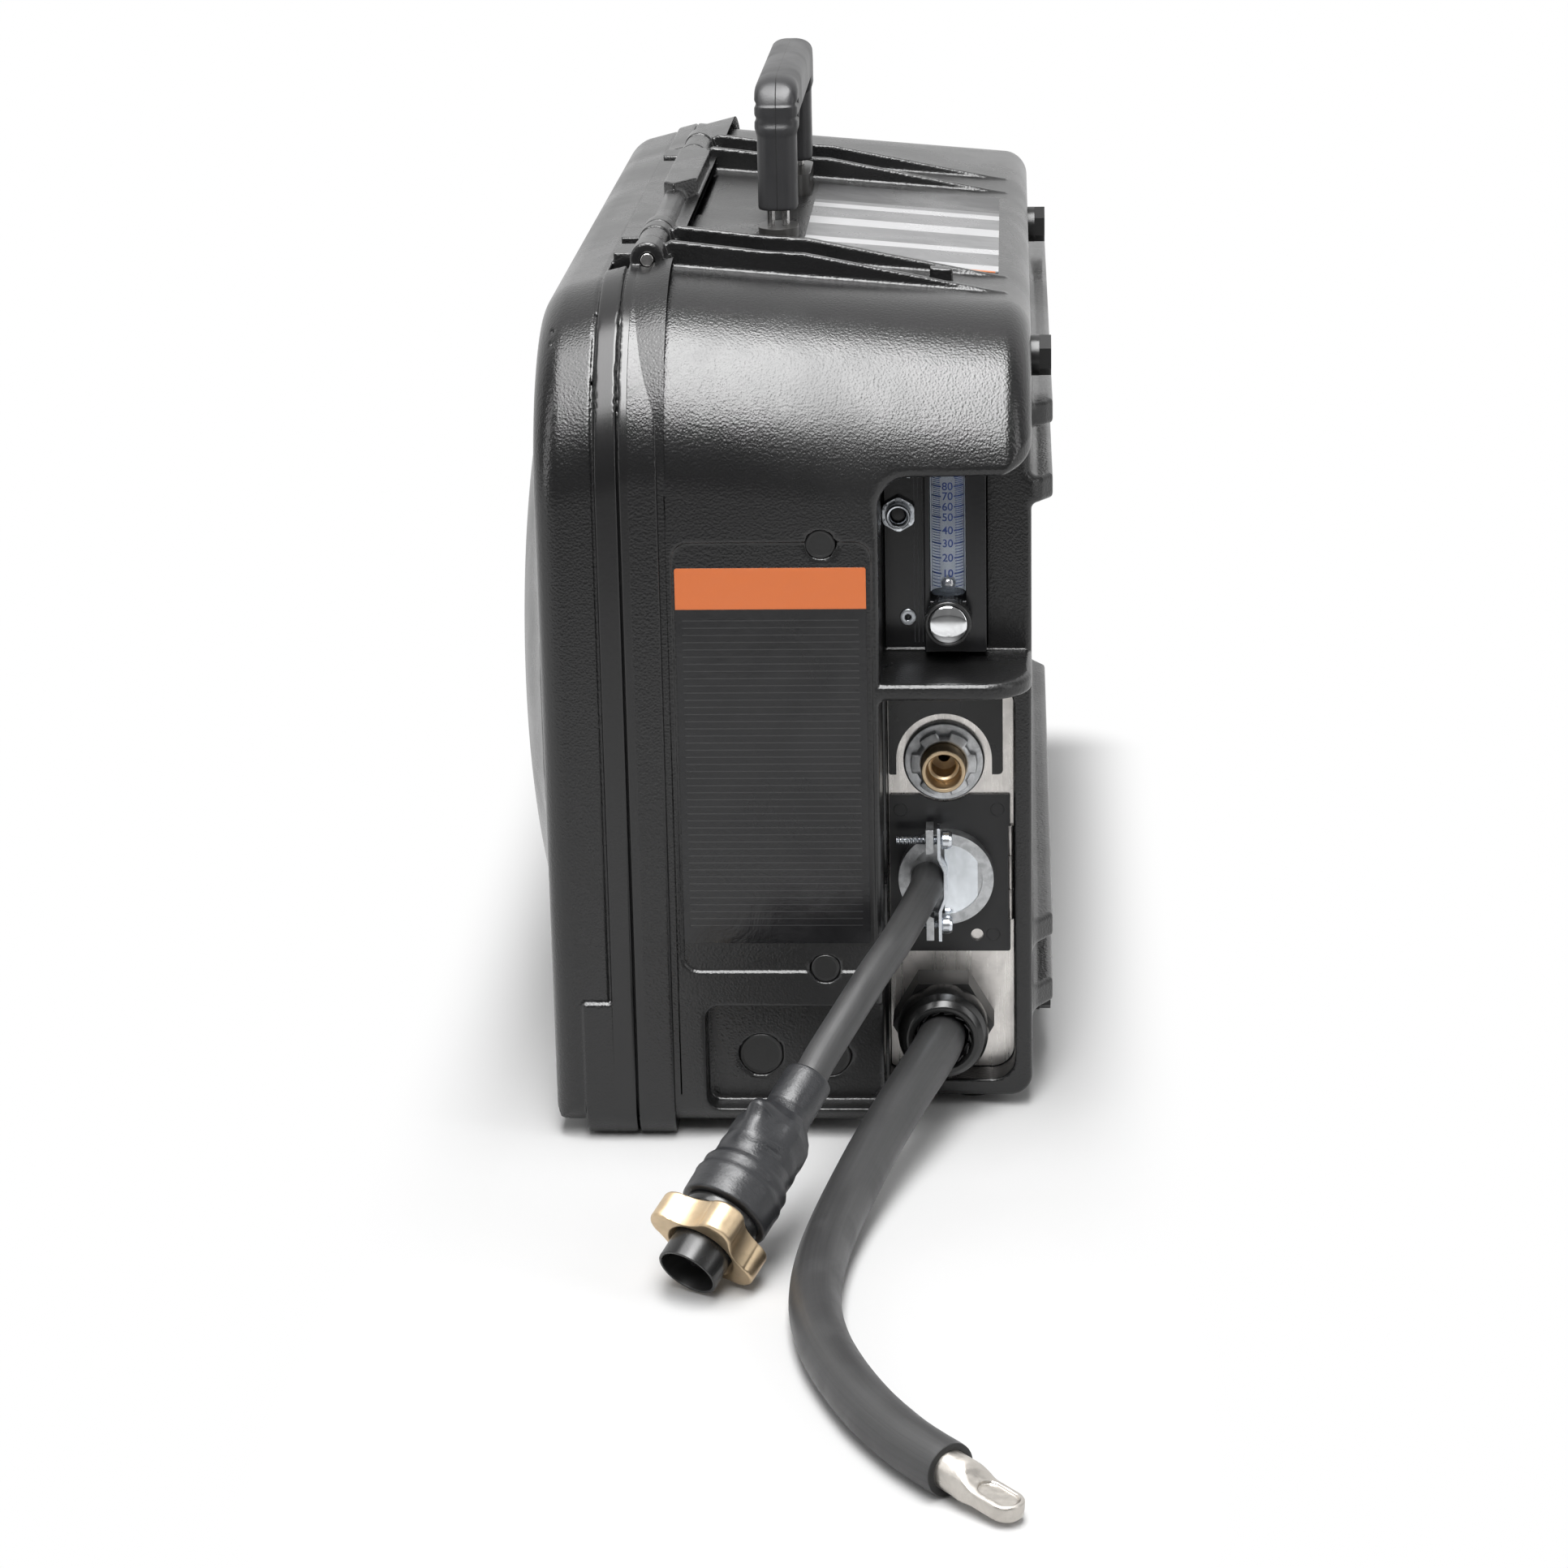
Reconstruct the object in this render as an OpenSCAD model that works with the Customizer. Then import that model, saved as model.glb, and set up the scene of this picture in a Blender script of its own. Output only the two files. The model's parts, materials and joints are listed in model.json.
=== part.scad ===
// Portable suitcase wire feeder, seen from its connection end.
// Lengths run front to back along Y, the door closes the -X side, Z is up.
// Every module is drawn from the door seam (x = 0), the rear face (y = 0)
// and the floor (z = 0); seat() then moves it to the centre of the footprint.

/* [Case] */
// Length of the case, rear face to front face
case_l = 564; // [560:1:570]
// Right wall of the case, measured from the door seam
case_w = 169; // [168:0.5:170]
// Height of the roof at the door seam
roof_z = 364; // [362:0.5:366]
// Fall of the roof towards the right wall, in degrees
roof_tilt = 5.3; // [5:0.1:5.6]
// Wall thickness of the moulded case
wall = 4; // [3:0.5:5]
// Radius of the rear shoulder
shoulder_r = 76; // [74:1:78]
// Radius of the front shoulder
front_r = 92; // [90:1:94]
// How far the seam flanges stand proud of the body
flange_proud = 1.5; // [1:0.5:2]
// Width of the case flange at the seam
flange_w = 16; // [14:1:18]

/* [Door] */
// Left wall of the door, measured from the seam
door_w = 36; // [35:0.5:37]
// Height of the round spool bulge on the door
dome_h = 21; // [18:1:22]
// Radius of the spool bulge
dome_r = 158; // [150:1:158]
// Wall thickness of the door
door_wall = 3.5; // [3:0.5:4]
// Radius of the hinge knuckles
knuckle_r = 7.4; // [7:0.1:7.6]

/* [Spool] */
// Radius of the spindle that takes a two-inch spool bore
spindle_r = 25.2; // [25:0.1:25.3]
// Distance of the spool centre from the rear face
spool_y = 190; // [186:1:194]
// Height of the spool centre
spool_z = 178; // [176:1:180]

/* [Cables] */
// Diameter of the power cable
power_d = 20.5; // [20:0.5:21]
// Diameter of the control cable
control_d = 14; // [13.5:0.5:14.5]

/* [Hidden] */
$fn = 64;

// Colours of the finishes
BLACK = "#2a2a2c";
GLOSS = "#161617";
STEEL = "#b9b6b2";
ZINC = "#c3c6c8";
BRASS = "#c9a46c";
RUBBER = "#3c3c3d";
ORANGE = "#e8742c";

// Case: places shared by several parts
BASE_Z = 5.5;              // underside of the body, over the flange skids
LIP = 0.3;                 // half of the seam gap
OVER = 1;                  // how far a cutter runs past what it cuts
GUARD_X = 178;             // outer face of the side rails
FOOT_R = 10;
FOOT_X = 143;
FOOT_Y = [62, 502];

// Hinge on the roof edge
HINGE_X = 8;
HINGE_Z = 367.5;
PIN_R = 2.8;
CASE_KNUCKLES = [[78, 96], [120, 134], [346, 360], [382, 400]];
DOOR_KNUCKLES = [[96.5, 119.5], [134.5, 345.5], [360.5, 381.5]];
RIB_Y = [90, 126, 346, 386];
RIB_T = 4;
STOP = [223, 329];         // stop block on the long door knuckle

// Recessed pockets of the rear right corner
POCKET_X = 106;
PANEL_Y = 50;              // face of the flow panel
RECESS_Y = 39.5;           // face of the frame round the steel panel
STEEL_Y = 55;              // face of the steel panel
BACK_Y = 61;               // inner face of the pocket walls
SHELF = [196, 203];        // shelf between the two pockets
LIP_Z = 293;               // lower edge of the overhang
STEEL_X = [107, 161.5];
STEEL_Z = [13, 192];
INLET = [131.4, 154.3];
CLAMP = [132, 103];
CLAMP_R = 20.5;
GLAND = [130.5, 39.2];
FLOW_X = 134;
FLOW_Y = 42.8;
PURGE = [113.2, 264.4];

// Round plugs: x, z, radius and where the face lies in y
ROUND_PLUGS = [[82.3, 263, 6.2, 3.1], [81.5, 78, 6.2, 3.1], [52.7, 34.7, 9.3, 14.4],
    [81.8, 33.9, 9.3, 14.4]];

// Handle
HANDLE_X = 57.7;
HANDLE_Y = [184, 324];
HANDLE_TOP = 430;
GRIP_Z = 371;
ROD_R = 1.6;
ROD_GAP = 3.3;              // half of the distance between the two rods
BULB_Z = 404;              // where the legs of the grip get thicker

// Inside
PLATE_X = [60, 62.5];
BOLT_YZ = [[80, 325], [400, 325], [110, 28], [400, 28]];
WIRE = [34, 160.5];        // the wire's line, parallel to Y
ROLL_Y = 425;
ROLL_R = 20;
IDLE_R = 15;
ARM_PIVOT = [468, 178];

// Front
DIAL_Z = 180;
DIAL_X = [90, 128];

// Plug on the control cable: where its boot starts and how it points
PLUG_AT = [78.4, -86.6, 63.8];
PLUG_DIP = 31;
PLUG_TURN = -121.6;

// Routes of the free cables, from the housing outwards
POWER_ROUTE = [[130.5, 44, 39.2], [130.5, 34, 39.2], [129, 18, 38.6],
    [124.5, 1, 36.4], [118, -17, 32.4], [110, -38, 26.6], [102, -62, 20.6],
    [95, -88, 15.6], [89.4, -114, 12.4], [85.6, -140, 10.8], [84, -167, 10.4],
    [85, -195, 10.4], [89.8, -223, 10.4], [98, -250, 10.4], [108.6, -276, 10.4],
    [121, -299, 10.4], [130, -312, 10.4], [138, -322, 10.4]];
CONTROL_ROUTE = [[123.8, 50, 103], [123.8, 38, 103], [121.6, 25, 102.2],
    [117.4, 6, 99.8], [111, -15.6, 95.4], [103.6, -33.6, 90], [96.6, -49.4, 83.6],
    [89.4, -64.4, 76.4], [83, -77, 69.6], [78.4, -86.6, 63.8]];
LUG_TURN = -43;
LUG_DIP = 7;

// ---------------------------------------------------------------- helpers

// Moves a part from the seam frame to the centre of the footprint
module seat() {
    translate([-(GUARD_X - door_w - dome_h) / 2, -case_l / 2, 0])
        children();
}

// Extrudes an outline drawn in (y, z) along X
module along_x(x0, x1) {
    translate([x0, 0, 0])
        rotate([90, 0, 90])
            linear_extrude(x1 - x0)
                children();
}

// Extrudes an outline drawn in (x, z) along Y
module along_y(y0, y1) {
    translate([0, y1, 0])
        rotate([90, 0, 0])
            linear_extrude(y1 - y0)
                children();
}

// Extrudes an outline drawn in (x, y) along Z
module along_z(z0, z1) {
    translate([0, 0, z0])
        linear_extrude(z1 - z0)
            children();
}

module disc_x(x0, x1, y, z, r) {
    translate([x0, y, z])
        rotate([0, 90, 0])
            cylinder(h = x1 - x0, r = r);
}

module disc_y(y0, y1, x, z, r) {
    translate([x, y1, z])
        rotate([90, 0, 0])
            cylinder(h = y1 - y0, r = r);
}

module hex_y(y0, y1, x, z, across) {
    translate([x, y1, z])
        rotate([90, 0, 0])
            cylinder(h = y1 - y0, r = across / sqrt(3), $fn = 6);
}

// Cuts a corner at the origin to a true arc; the material lies in +x, +y
module corner_cut(r) {
    difference() {
        translate([-OVER, -OVER])
            square(r + OVER);
        translate([r, r])
            circle(r);
    }
}

// Rectangle with its own radius at each corner:
// bottom left, bottom right, top right, top left
module outline(x0, y0, x1, y1, r) {
    at = [[x0, y0], [x1, y0], [x1, y1], [x0, y1]];
    difference() {
        translate([x0, y0])
            square([x1 - x0, y1 - y0]);
        for (i = [0 : 3])
            if (r[i] > 0)
                translate(at[i])
                    rotate(i * 90)
                        corner_cut(r[i]);
    }
}

// ------------------------------------------------------------- case forms

// Side view with round shoulders, tilted so that the roof falls to one side
module roof_form(inset, tilt) {
    translate([0, 0, roof_z])
        rotate([0, tilt, 0])
            along_x(-260, 260)
                translate([0, -roof_z])
                    outline(inset, -90, case_l - inset, roof_z + flange_proud - inset,
                            [0, 0, front_r - inset, shoulder_r + flange_proud - inset]);
}

// Side view with the rounded bottom edges
module floor_form(inset, base, x0, x1) {
    along_x(x0, x1)
        outline(inset, base, case_l - inset, 420, [14, 30, 0, 0]);
}

module case_form(inset, base, x0) {
    right = case_w + flange_proud - inset;
    corner = 12.5 - inset;
    cx = right - corner;
    cz = roof_z + flange_proud - inset - tan(roof_tilt) * cx - corner / cos(roof_tilt);
    intersection() {
        roof_form(inset, roof_tilt);
        floor_form(inset, base, x0, right + OVER);
        along_z(base - OVER, 420)
            outline(x0, inset, right, case_l - inset, [0, 22 - inset, 34 - inset, 0]);
        along_y(-OVER, case_l + OVER)
            difference() {
                outline(x0, base, right, 420, [0, 11 - inset, 0, 0]);
                difference() {
                    translate([cx + corner * sin(roof_tilt), cz])
                        square(60);
                    translate([cx, cz])
                        circle(corner);
                }
            }
    }
}

module door_form(inset, base, side, x1) {
    tilt = -14;
    corner = 13.5 - inset;
    cx = -side + corner;
    cz = roof_z + flange_proud - inset + tan(tilt) * -cx - corner / cos(tilt);
    intersection() {
        roof_form(inset, tilt);
        floor_form(inset, base, -side - OVER, x1);
        along_z(base - OVER, 420)
            outline(-side, inset, x1, case_l - inset, [13 - inset, 0, 0, 44 - inset]);
        along_y(-OVER, case_l + OVER)
            difference() {
                outline(-side, base, x1, 420, [11 - inset, 0, 0, 0]);
                difference() {
                    translate([cx + corner * sin(tilt) - 60, cz])
                        square(60);
                    translate([cx, cz])
                        circle(corner);
                }
            }
    }
}

// Raised band along the seam, whose lower runs are the skids
module flange_ring(x0, x1, tilt, depth) {
    difference() {
        intersection() {
            roof_form(0, tilt);
            floor_form(0, 0, x0, x1);
        }
        intersection() {
            roof_form(depth, tilt);
            floor_form(depth, depth, x0 - OVER, x1 + OVER);
        }
    }
}

// --------------------------------------------------------------- the case

module pocket_blocks() {
    translate([POCKET_X - wall - 0.5, 0, BASE_Z])
        cube([case_w - POCKET_X + wall + 0.5, BACK_Y, LIP_Z + 26 - BASE_Z]);
    // floor behind the rectangular recess
    translate([26, 0, BASE_Z])
        cube([POCKET_X - 26, 18, 59.5]);
}

module pocket_cuts() {
    disc_y(PANEL_Y, BACK_Y + OVER, PURGE[0], PURGE[1], 4.3);
    // upper pocket, open to the rear and to the right
    intersection() {
        along_x(POCKET_X, 190)
            polygon([[-OVER, SHELF[1]], [6, SHELF[1]], [PANEL_Y, SHELF[1] + 1.5],
                     [PANEL_Y, LIP_Z + 20], [4, LIP_Z + 2], [-OVER, LIP_Z]]);
        along_y(-2 * OVER, PANEL_Y + OVER)
            outline(POCKET_X, 190, 190, 330, [0, 0, 0, 12]);
    }
    // seat of the flow panel
    translate([POCKET_X + 1, PANEL_Y - OVER, SHELF[1] + 3])
        cube([43, 2 + OVER, LIP_Z - SHELF[1] + 11]);
    // step under the shelf
    along_y(-OVER, RECESS_Y)
        outline(POCKET_X - 0.5, -OVER, 190, SHELF[0], [0, 0, 0, 0]);
    // sunk panel with its rounded corners
    along_y(RECESS_Y - OVER, STEEL_Y + 2)
        outline(STEEL_X[0], STEEL_Z[0], STEEL_X[1], STEEL_Z[1], [2, 10, 10, 2]);
    // holes behind the panel
    disc_y(STEEL_Y, BACK_Y + OVER, INLET[0], INLET[1], 11);
    disc_y(STEEL_Y, BACK_Y + OVER, CLAMP[0], CLAMP[1], 13);
    disc_y(STEEL_Y, BACK_Y + OVER, GLAND[0], GLAND[1], 16);
}

module case_details() {
    // ribs across the roof
    for (y = RIB_Y)
        along_y(y, y + RIB_T)
            polygon([[10, 350], [10, 371], [17, 373.3], [53, 368.8], [74, 367.2],
                     [158, 349.6], [158, 344]]);
    // knuckles with their webs
    for (k = CASE_KNUCKLES) {
        disc_y(k[0], k[1], HINGE_X, HINGE_Z, knuckle_r);
        translate([HINGE_X - 5, k[0], 352])
            cube([14, k[1] - k[0], HINGE_Z - 352]);
    }
    // gutter under the hinge and the stop block
    translate([LIP, 72, 350])
        cube([16, 336, 12]);
    intersection() {
        disc_y(STOP[0] - 5, STOP[1] + 5, HINGE_X, HINGE_Z, 16);
        translate([LIP, 0, 340])
            cube([40, case_l, 22]);
    }
    // rails on the right wall
    for (z = [[300, 311], [268, 279], [72, 83], [42, 53]])
        along_z(z[0], z[1])
            polygon([[case_w - 3, 46], [case_w, 46], [GUARD_X, 60], [GUARD_X, 452],
                     [case_w, 468], [case_w - 3, 468]]);
    // end stop of the label channel
    translate([0, 0, roof_z])
        rotate([0, roof_tilt, 0])
            translate([126, 104, -1])
                cube([10, 6, 7]);
    // keeper that the door latch turns behind
    translate([1.5, 366, 6])
        cube([3, 30, 18]);
}

module case_solid() {
    difference() {
        union() {
            difference() {
                case_form(flange_proud, BASE_Z, 0);
                case_form(flange_proud + wall, BASE_Z + wall, -OVER);
            }
            intersection() {
                case_form(flange_proud, BASE_Z, 0);
                pocket_blocks();
            }
            flange_ring(LIP, flange_w, roof_tilt, 7);
            case_details();
        }
        pocket_cuts();
        // seam gap
        translate([-OVER, -OVER, -OVER])
            cube([OVER + LIP, case_l + 2 * OVER, 352]);
        // trough and bore of the hinge
        for (k = DOOR_KNUCKLES) {
            disc_y(k[0] - 0.5, k[1] + 0.5, HINGE_X, HINGE_Z, knuckle_r + 0.6);
            translate([-OVER, k[0] - 0.5, 359])
                cube([HINGE_X + OVER, k[1] - k[0] + 1, 20]);
        }
        disc_y(70, 404, HINGE_X, HINGE_Z, PIN_R + 0.05);
        // hollow that the stop block swings into
        disc_y(STOP[0] - 2, STOP[1] + 2, HINGE_X, HINGE_Z, 13.2);
        // label recess and lower rectangular recess
        along_y(0, flange_proud + 1.2)
            outline(21, 77, 103, 264, [7, 7, 7, 7]);
        along_y(0, 14)
            outline(30, 13.8, POCKET_X, 61, [6, 2, 2, 6]);
        // holes for the round plugs, the handle, the bolts and the gun socket
        for (p = ROUND_PLUGS)
            disc_y(0, 19, p[0], p[1], p[2]);
        for (y = HANDLE_Y)
            translate([HANDLE_X, y, 340])
                cylinder(h = 40, r = 7.9);
        along_z(358, 380)
            outline(HANDLE_X - 8.9, 171.9, HANDLE_X + 8.9, 196.1, [8.8, 8.8, 8.8, 8.8]);
        along_z(357.5, 380)
            outline(HANDLE_X - 8.9, 290.9, HANDLE_X + 8.9, 339.1, [8.8, 8.8, 8.8, 8.8]);
        for (b = BOLT_YZ)
            disc_x(150, 190, b[0], b[1], 4.2);
        disc_y(540, 570, WIRE[0], WIRE[1], 19.2);
        // window of the front panel
        along_y(532, 570)
            outline(67, 129, 151, 269, [8, 8, 8, 8]);
    }
    front_tray();
}

// The moulded case is kept as four walls that meet face to face: each is the
// part of the moulding that lies inside one or two boxes.
SPLIT_REAR = 62;
SPLIT_FRONT = 470;
SPLIT_SIDE = 160;
SPLIT_MID = 200;

module box_between(low, high) {
    translate(low)
        cube(high - low);
}

module case_wall() {
    color(BLACK)
        seat()
            intersection() {
                case_solid();
                children();
            }
}

module case_rear() {
    case_wall()
        box_between([-OVER, -OVER, -OVER], [200, SPLIT_REAR, 400]);
}

module case_roof() {
    case_wall()
        box_between([-OVER, SPLIT_REAR, SPLIT_MID], [SPLIT_SIDE, SPLIT_FRONT, 400]);
}

// The floor with the right wall
module case_base() {
    case_wall()
        union() {
            box_between([-OVER, SPLIT_REAR, -OVER], [200, SPLIT_FRONT, SPLIT_MID]);
            box_between([SPLIT_SIDE, SPLIT_REAR, -OVER], [200, SPLIT_FRONT, 400]);
        }
}

module case_front() {
    case_wall()
        box_between([-OVER, SPLIT_FRONT, -OVER], [200, 600, 400]);
}

// Floor and walls of the recess that holds the front panel
module front_tray() {
    difference() {
        along_y(533, 561)
            outline(64.5, 126.5, 153.5, 271.5, [10, 10, 10, 10]);
        along_y(536, 570)
            outline(69.5, 131.5, 148.5, 266.5, [6, 6, 6, 6]);
        for (x = DIAL_X)
            disc_y(530, 540, x, DIAL_Z, 4.18);
        disc_y(530, 540, 109, 147, 5.4);
    }
}

// --------------------------------------------------------------- the door

DOME_STEPS = 8;

// Radius and height of the dome: the fall grows with the cube of the radius
function dome_point(i, r, h) = [r * i / DOME_STEPS, h * (1 - pow(i / DOME_STEPS, 3))];

module dome(r, h, back) {
    translate([-door_w, spool_y, spool_z])
        rotate([0, -90, 0])
            rotate_extrude()
                polygon(concat([[0, -back]], [for (i = [0 : DOME_STEPS]) dome_point(i, r, h)],
                               [[r, -back]]));
}

module door() {
    color(BLACK)
        seat()
            difference() {
                union() {
                    difference() {
                        union() {
                            door_form(flange_proud, BASE_Z, door_w, -LIP);
                            dome(dome_r, dome_h, 2);
                        }
                        door_form(flange_proud + door_wall, BASE_Z + door_wall,
                                  door_w - door_wall, OVER);
                        dome(dome_r - 6, dome_h - door_wall, 4);
                    }
                    flange_ring(-9.6, -LIP, -14, 7);
                    // bumper pads at the lower rear and lower front edges
                    intersection() {
                        flange_ring(-22.5, -9, -14, 6);
                        translate([-30, -OVER, -OVER])
                            cube([30, case_l + 2 * OVER, 63]);
                    }
                    // bumper on the upper front corner
                    intersection() {
                        translate([-door_w - 9, 470, 240])
                            cube([14, 64, 80]);
                        along_x(-door_w - 9, 0)
                            outline(470, 240, 534, 320, [10, 10, 10, 10]);
                    }
                    // knuckles with their webs, and the stop block
                    for (k = DOOR_KNUCKLES) {
                        disc_y(k[0], k[1], HINGE_X, HINGE_Z, knuckle_r);
                        translate([-8, k[0], 360.2])
                            cube([HINGE_X + 8, k[1] - k[0], 7]);
                    }
                    along_z(HINGE_Z + 2, HINGE_Z + 8.5)
                        polygon([[3, STOP[0] + 6], [HINGE_X, STOP[0]], [17.6, STOP[0] + 16],
                                 [17.6, STOP[1] - 10], [15, STOP[1]], [3, STOP[1]]]);
                    // boss of the latch
                    disc_x(-door_w + 1, -14, 381, 44, 11);
                }
                disc_y(70, 404, HINGE_X, HINGE_Z, PIN_R + 0.05);
                for (k = CASE_KNUCKLES)
                    translate([-8.5, k[0] - 0.4, 358])
                        cube([30, k[1] - k[0] + 0.8, 20]);
                disc_x(-door_w - OVER, OVER, 381, 44, 5.06);
                disc_x(-door_w - OVER, -door_w + 2.2, 381, 44, 17);
                // seat of the seal
                seal_ring(-3.2, OVER, 3.9, 8.2);
            }
}

// Ring that follows the seam all round, below the hinge
module seal_ring(x0, x1, outer, inner) {
    difference() {
        along_x(x0, x1)
            outline(outer, outer, case_l - outer, 354, [12, 28, front_r - outer, shoulder_r]);
        along_x(x0 - OVER, x1 + OVER)
            outline(inner, inner, case_l - inner, 354 - inner + outer,
                    [10, 24, front_r - inner, shoulder_r - inner + outer]);
    }
}

module door_seal() {
    color(RUBBER)
        seat()
            seal_ring(-3, -LIP - 0.2, 4, 7);
}

module hinge_pins() {
    color(STEEL)
        seat() {
            disc_y(77.4, 160, HINGE_X, HINGE_Z, PIN_R);
            disc_y(320, 400.6, HINGE_X, HINGE_Z, PIN_R);
        }
}

module latch_knob() {
    color(BLACK)
        seat() {
            // dial in the cup of the door wall, with a grip bar
            disc_x(-door_w, -door_w + 2, 381, 44, 16);
            translate([-door_w - 5, 381 - 13, 44 - 3])
                cube([6, 26, 6]);
            disc_x(-door_w, 7, 381, 44, 5);
            // tongue, lying along the edge while open
            translate([5.5, 381 - 4, 44 - 5])
                cube([2.5, 34, 10]);
        }
}

// ---------------------------------------------------- outside of the case

module feet() {
    color(RUBBER)
        seat()
            for (y = FOOT_Y)
                translate([FOOT_X, y, 0])
                    cylinder(h = BASE_Z, r = FOOT_R);
}

module side_bolts() {
    color(BLACK)
        seat()
            for (b = BOLT_YZ) {
                disc_x(case_w, case_w + 3.5, b[0], b[1], 8.6);
                translate([case_w + 3.5, b[0], b[1]])
                    rotate([0, 90, 0])
                        cylinder(h = 5, r = 15 / sqrt(3), $fn = 6);
                disc_x(140, case_w, b[0], b[1], 4);
            }
}

module hole_plugs() {
    color(GLOSS)
        seat()
            for (p = ROUND_PLUGS)
                disc_y(p[3], p[3] + 4, p[0], p[1], p[2] - 0.05);
}

// Two shallow grooves round the outer side of one leg
module grip_grooves(y, inner) {
    for (z = [[410.5, 412.3], [416.7, 418.5]])
        along_z(z[0], z[1])
            difference() {
                translate([HANDLE_X - 12, min(y, y - inner * 12) - 1])
                    square([24, 12]);
                outline(HANDLE_X - 8.9, y - 9.2, HANDLE_X + 8.9, y + 9.2, [6, 6, 6, 6]);
            }
}

module handle_grip() {
    color(RUBBER)
        seat()
            difference() {
                union() {
                    for (y = HANDLE_Y)
                        along_z(GRIP_Z, BULB_Z + 2)
                            outline(HANDLE_X - 8.7, y - 9.5, HANDLE_X + 8.7, y + 9.5, [6, 6, 6, 6]);
                    intersection() {
                        along_x(HANDLE_X - 9.6, HANDLE_X + 9.6)
                            difference() {
                                outline(HANDLE_Y[0] - 10, BULB_Z, HANDLE_Y[1] + 10, HANDLE_TOP,
                                        [0, 0, 20, 20]);
                                outline(HANDLE_Y[0] + 10, BULB_Z - OVER, HANDLE_Y[1] - 10, 409,
                                        [0, 0, 4, 4]);
                            }
                        along_y(160, 350)
                            outline(HANDLE_X - 9.6, 380, HANDLE_X + 9.6, HANDLE_TOP, [0, 0, 7, 7]);
                        along_z(380, 450)
                            outline(HANDLE_X - 9.6, HANDLE_Y[0] - 10, HANDLE_X + 9.6,
                                    HANDLE_Y[1] + 10, [6, 6, 6, 6]);
                    }
                }
                grip_grooves(HANDLE_Y[0], 1);
                grip_grooves(HANDLE_Y[1], 0);
                handle_bars(ROD_R + 0.05);
            }
}

// Two bent steel rods side by side, each with two legs and a top run
module handle_bars(r) {
    for (x = [HANDLE_X - ROD_GAP, HANDLE_X + ROD_GAP]) {
        for (y = HANDLE_Y)
            translate([x, y, 350])
                cylinder(h = 420 - 350, r = r);
        disc_y(HANDLE_Y[0], HANDLE_Y[1], x, 420, r);
        for (y = HANDLE_Y)
            translate([x, y, 420])
                sphere(r = r);
    }
}

module handle_rod() {
    color(STEEL)
        seat()
            handle_bars(ROD_R);
}

// Oval bushes in the roof; the far one is long, so that the grip can give
module handle_sockets() {
    color(GLOSS)
        seat()
            difference() {
                union() {
                    for (y = HANDLE_Y)
                        translate([HANDLE_X, y, 348])
                            cylinder(h = 12, r = 7.8);
                    along_z(358, 363.4)
                        outline(HANDLE_X - 8.8, 172, HANDLE_X + 8.8, 196, [8.7, 8.7, 8.7, 8.7]);
                    along_z(357.5, 368)
                        outline(HANDLE_X - 8.8, 291, HANDLE_X + 8.8, 339, [8.7, 8.7, 8.7, 8.7]);
                }
                for (y = HANDLE_Y, x = [HANDLE_X - ROD_GAP, HANDLE_X + ROD_GAP])
                    translate([x, y, 340])
                        cylinder(h = 40, r = ROD_R + 0.05);
            }
}

module rear_label() {
    color(ORANGE)
        seat()
            along_y(flange_proud + 0.9, flange_proud + 1.2)
                outline(22, 89.6, 100.8, 253.2, [1, 1, 1, 1]);
}

module top_label() {
    color("#9a9a9c")
        seat()
            translate([0, 0, roof_z])
                rotate([0, roof_tilt, 0])
                    along_z(0, 0.3)
                        outline(69.5, 136, 156, 330, [1, 1, 1, 1]);
}

// ----------------------------------------------------------- upper pocket

module flow_panel() {
    color(GLOSS)
        seat()
            difference() {
                along_y(PANEL_Y, PANEL_Y + 2)
                    outline(POCKET_X + 1.2, SHELF[1] + 3.2, 149.8, LIP_Z + 13.8, [0, 0, 0, 0]);
                disc_y(PANEL_Y - OVER, PANEL_Y + 3, PURGE[0], PURGE[1], 4.2);
                disc_y(PANEL_Y - OVER, PANEL_Y + 3, 116.8, 219.2, 1.6);
                disc_y(PANEL_Y - OVER, PANEL_Y + 3, 117.5, 281, 1.6);
            }
}

module flowmeter_body() {
    color(GLOSS)
        seat()
            difference() {
                translate([124, FLOW_Y - 4, 206.6])
                    cube([26, PANEL_Y - FLOW_Y + 4, 97.4]);
                along_z(229, 300)
                    translate([FLOW_X, FLOW_Y])
                        circle(7.4);
                translate([FLOW_X - 7.4, FLOW_Y - 5, 229])
                    cube([14.8, 5, 71]);
                disc_y(FLOW_Y - 5, FLOW_Y + 3, FLOW_X, 222, 3.05);
            }
}

module flowmeter_tube() {
    color([0.75, 0.85, 1, 0.5])
        seat()
            difference() {
                along_z(231.8, 300)
                    translate([FLOW_X, FLOW_Y])
                        circle(7.1);
                along_z(232.6, 301)
                    translate([FLOW_X, FLOW_Y])
                        circle(3.8);
            }
}

module flowmeter_ball() {
    color(STEEL)
        seat()
            translate([FLOW_X, FLOW_Y, 236])
                sphere(r = 3.2);
}

module flow_knob() {
    color(GLOSS)
        seat()
            difference() {
                union() {
                    disc_y(27, 38, FLOW_X, 222, 9.6);
                    disc_y(37, FLOW_Y + 2, FLOW_X, 222, 3);
                }
                for (a = [0 : 30 : 330])
                    translate([FLOW_X + 10.2 * cos(a), 39, 222 + 10.2 * sin(a)])
                        rotate([90, 0, 0])
                            cylinder(h = 10, r = 1, $fn = 16);
            }
}

module flow_knob_cap() {
    color(ZINC)
        seat()
            disc_y(25.5, 27, FLOW_X, 222, 7.2);
}

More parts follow.
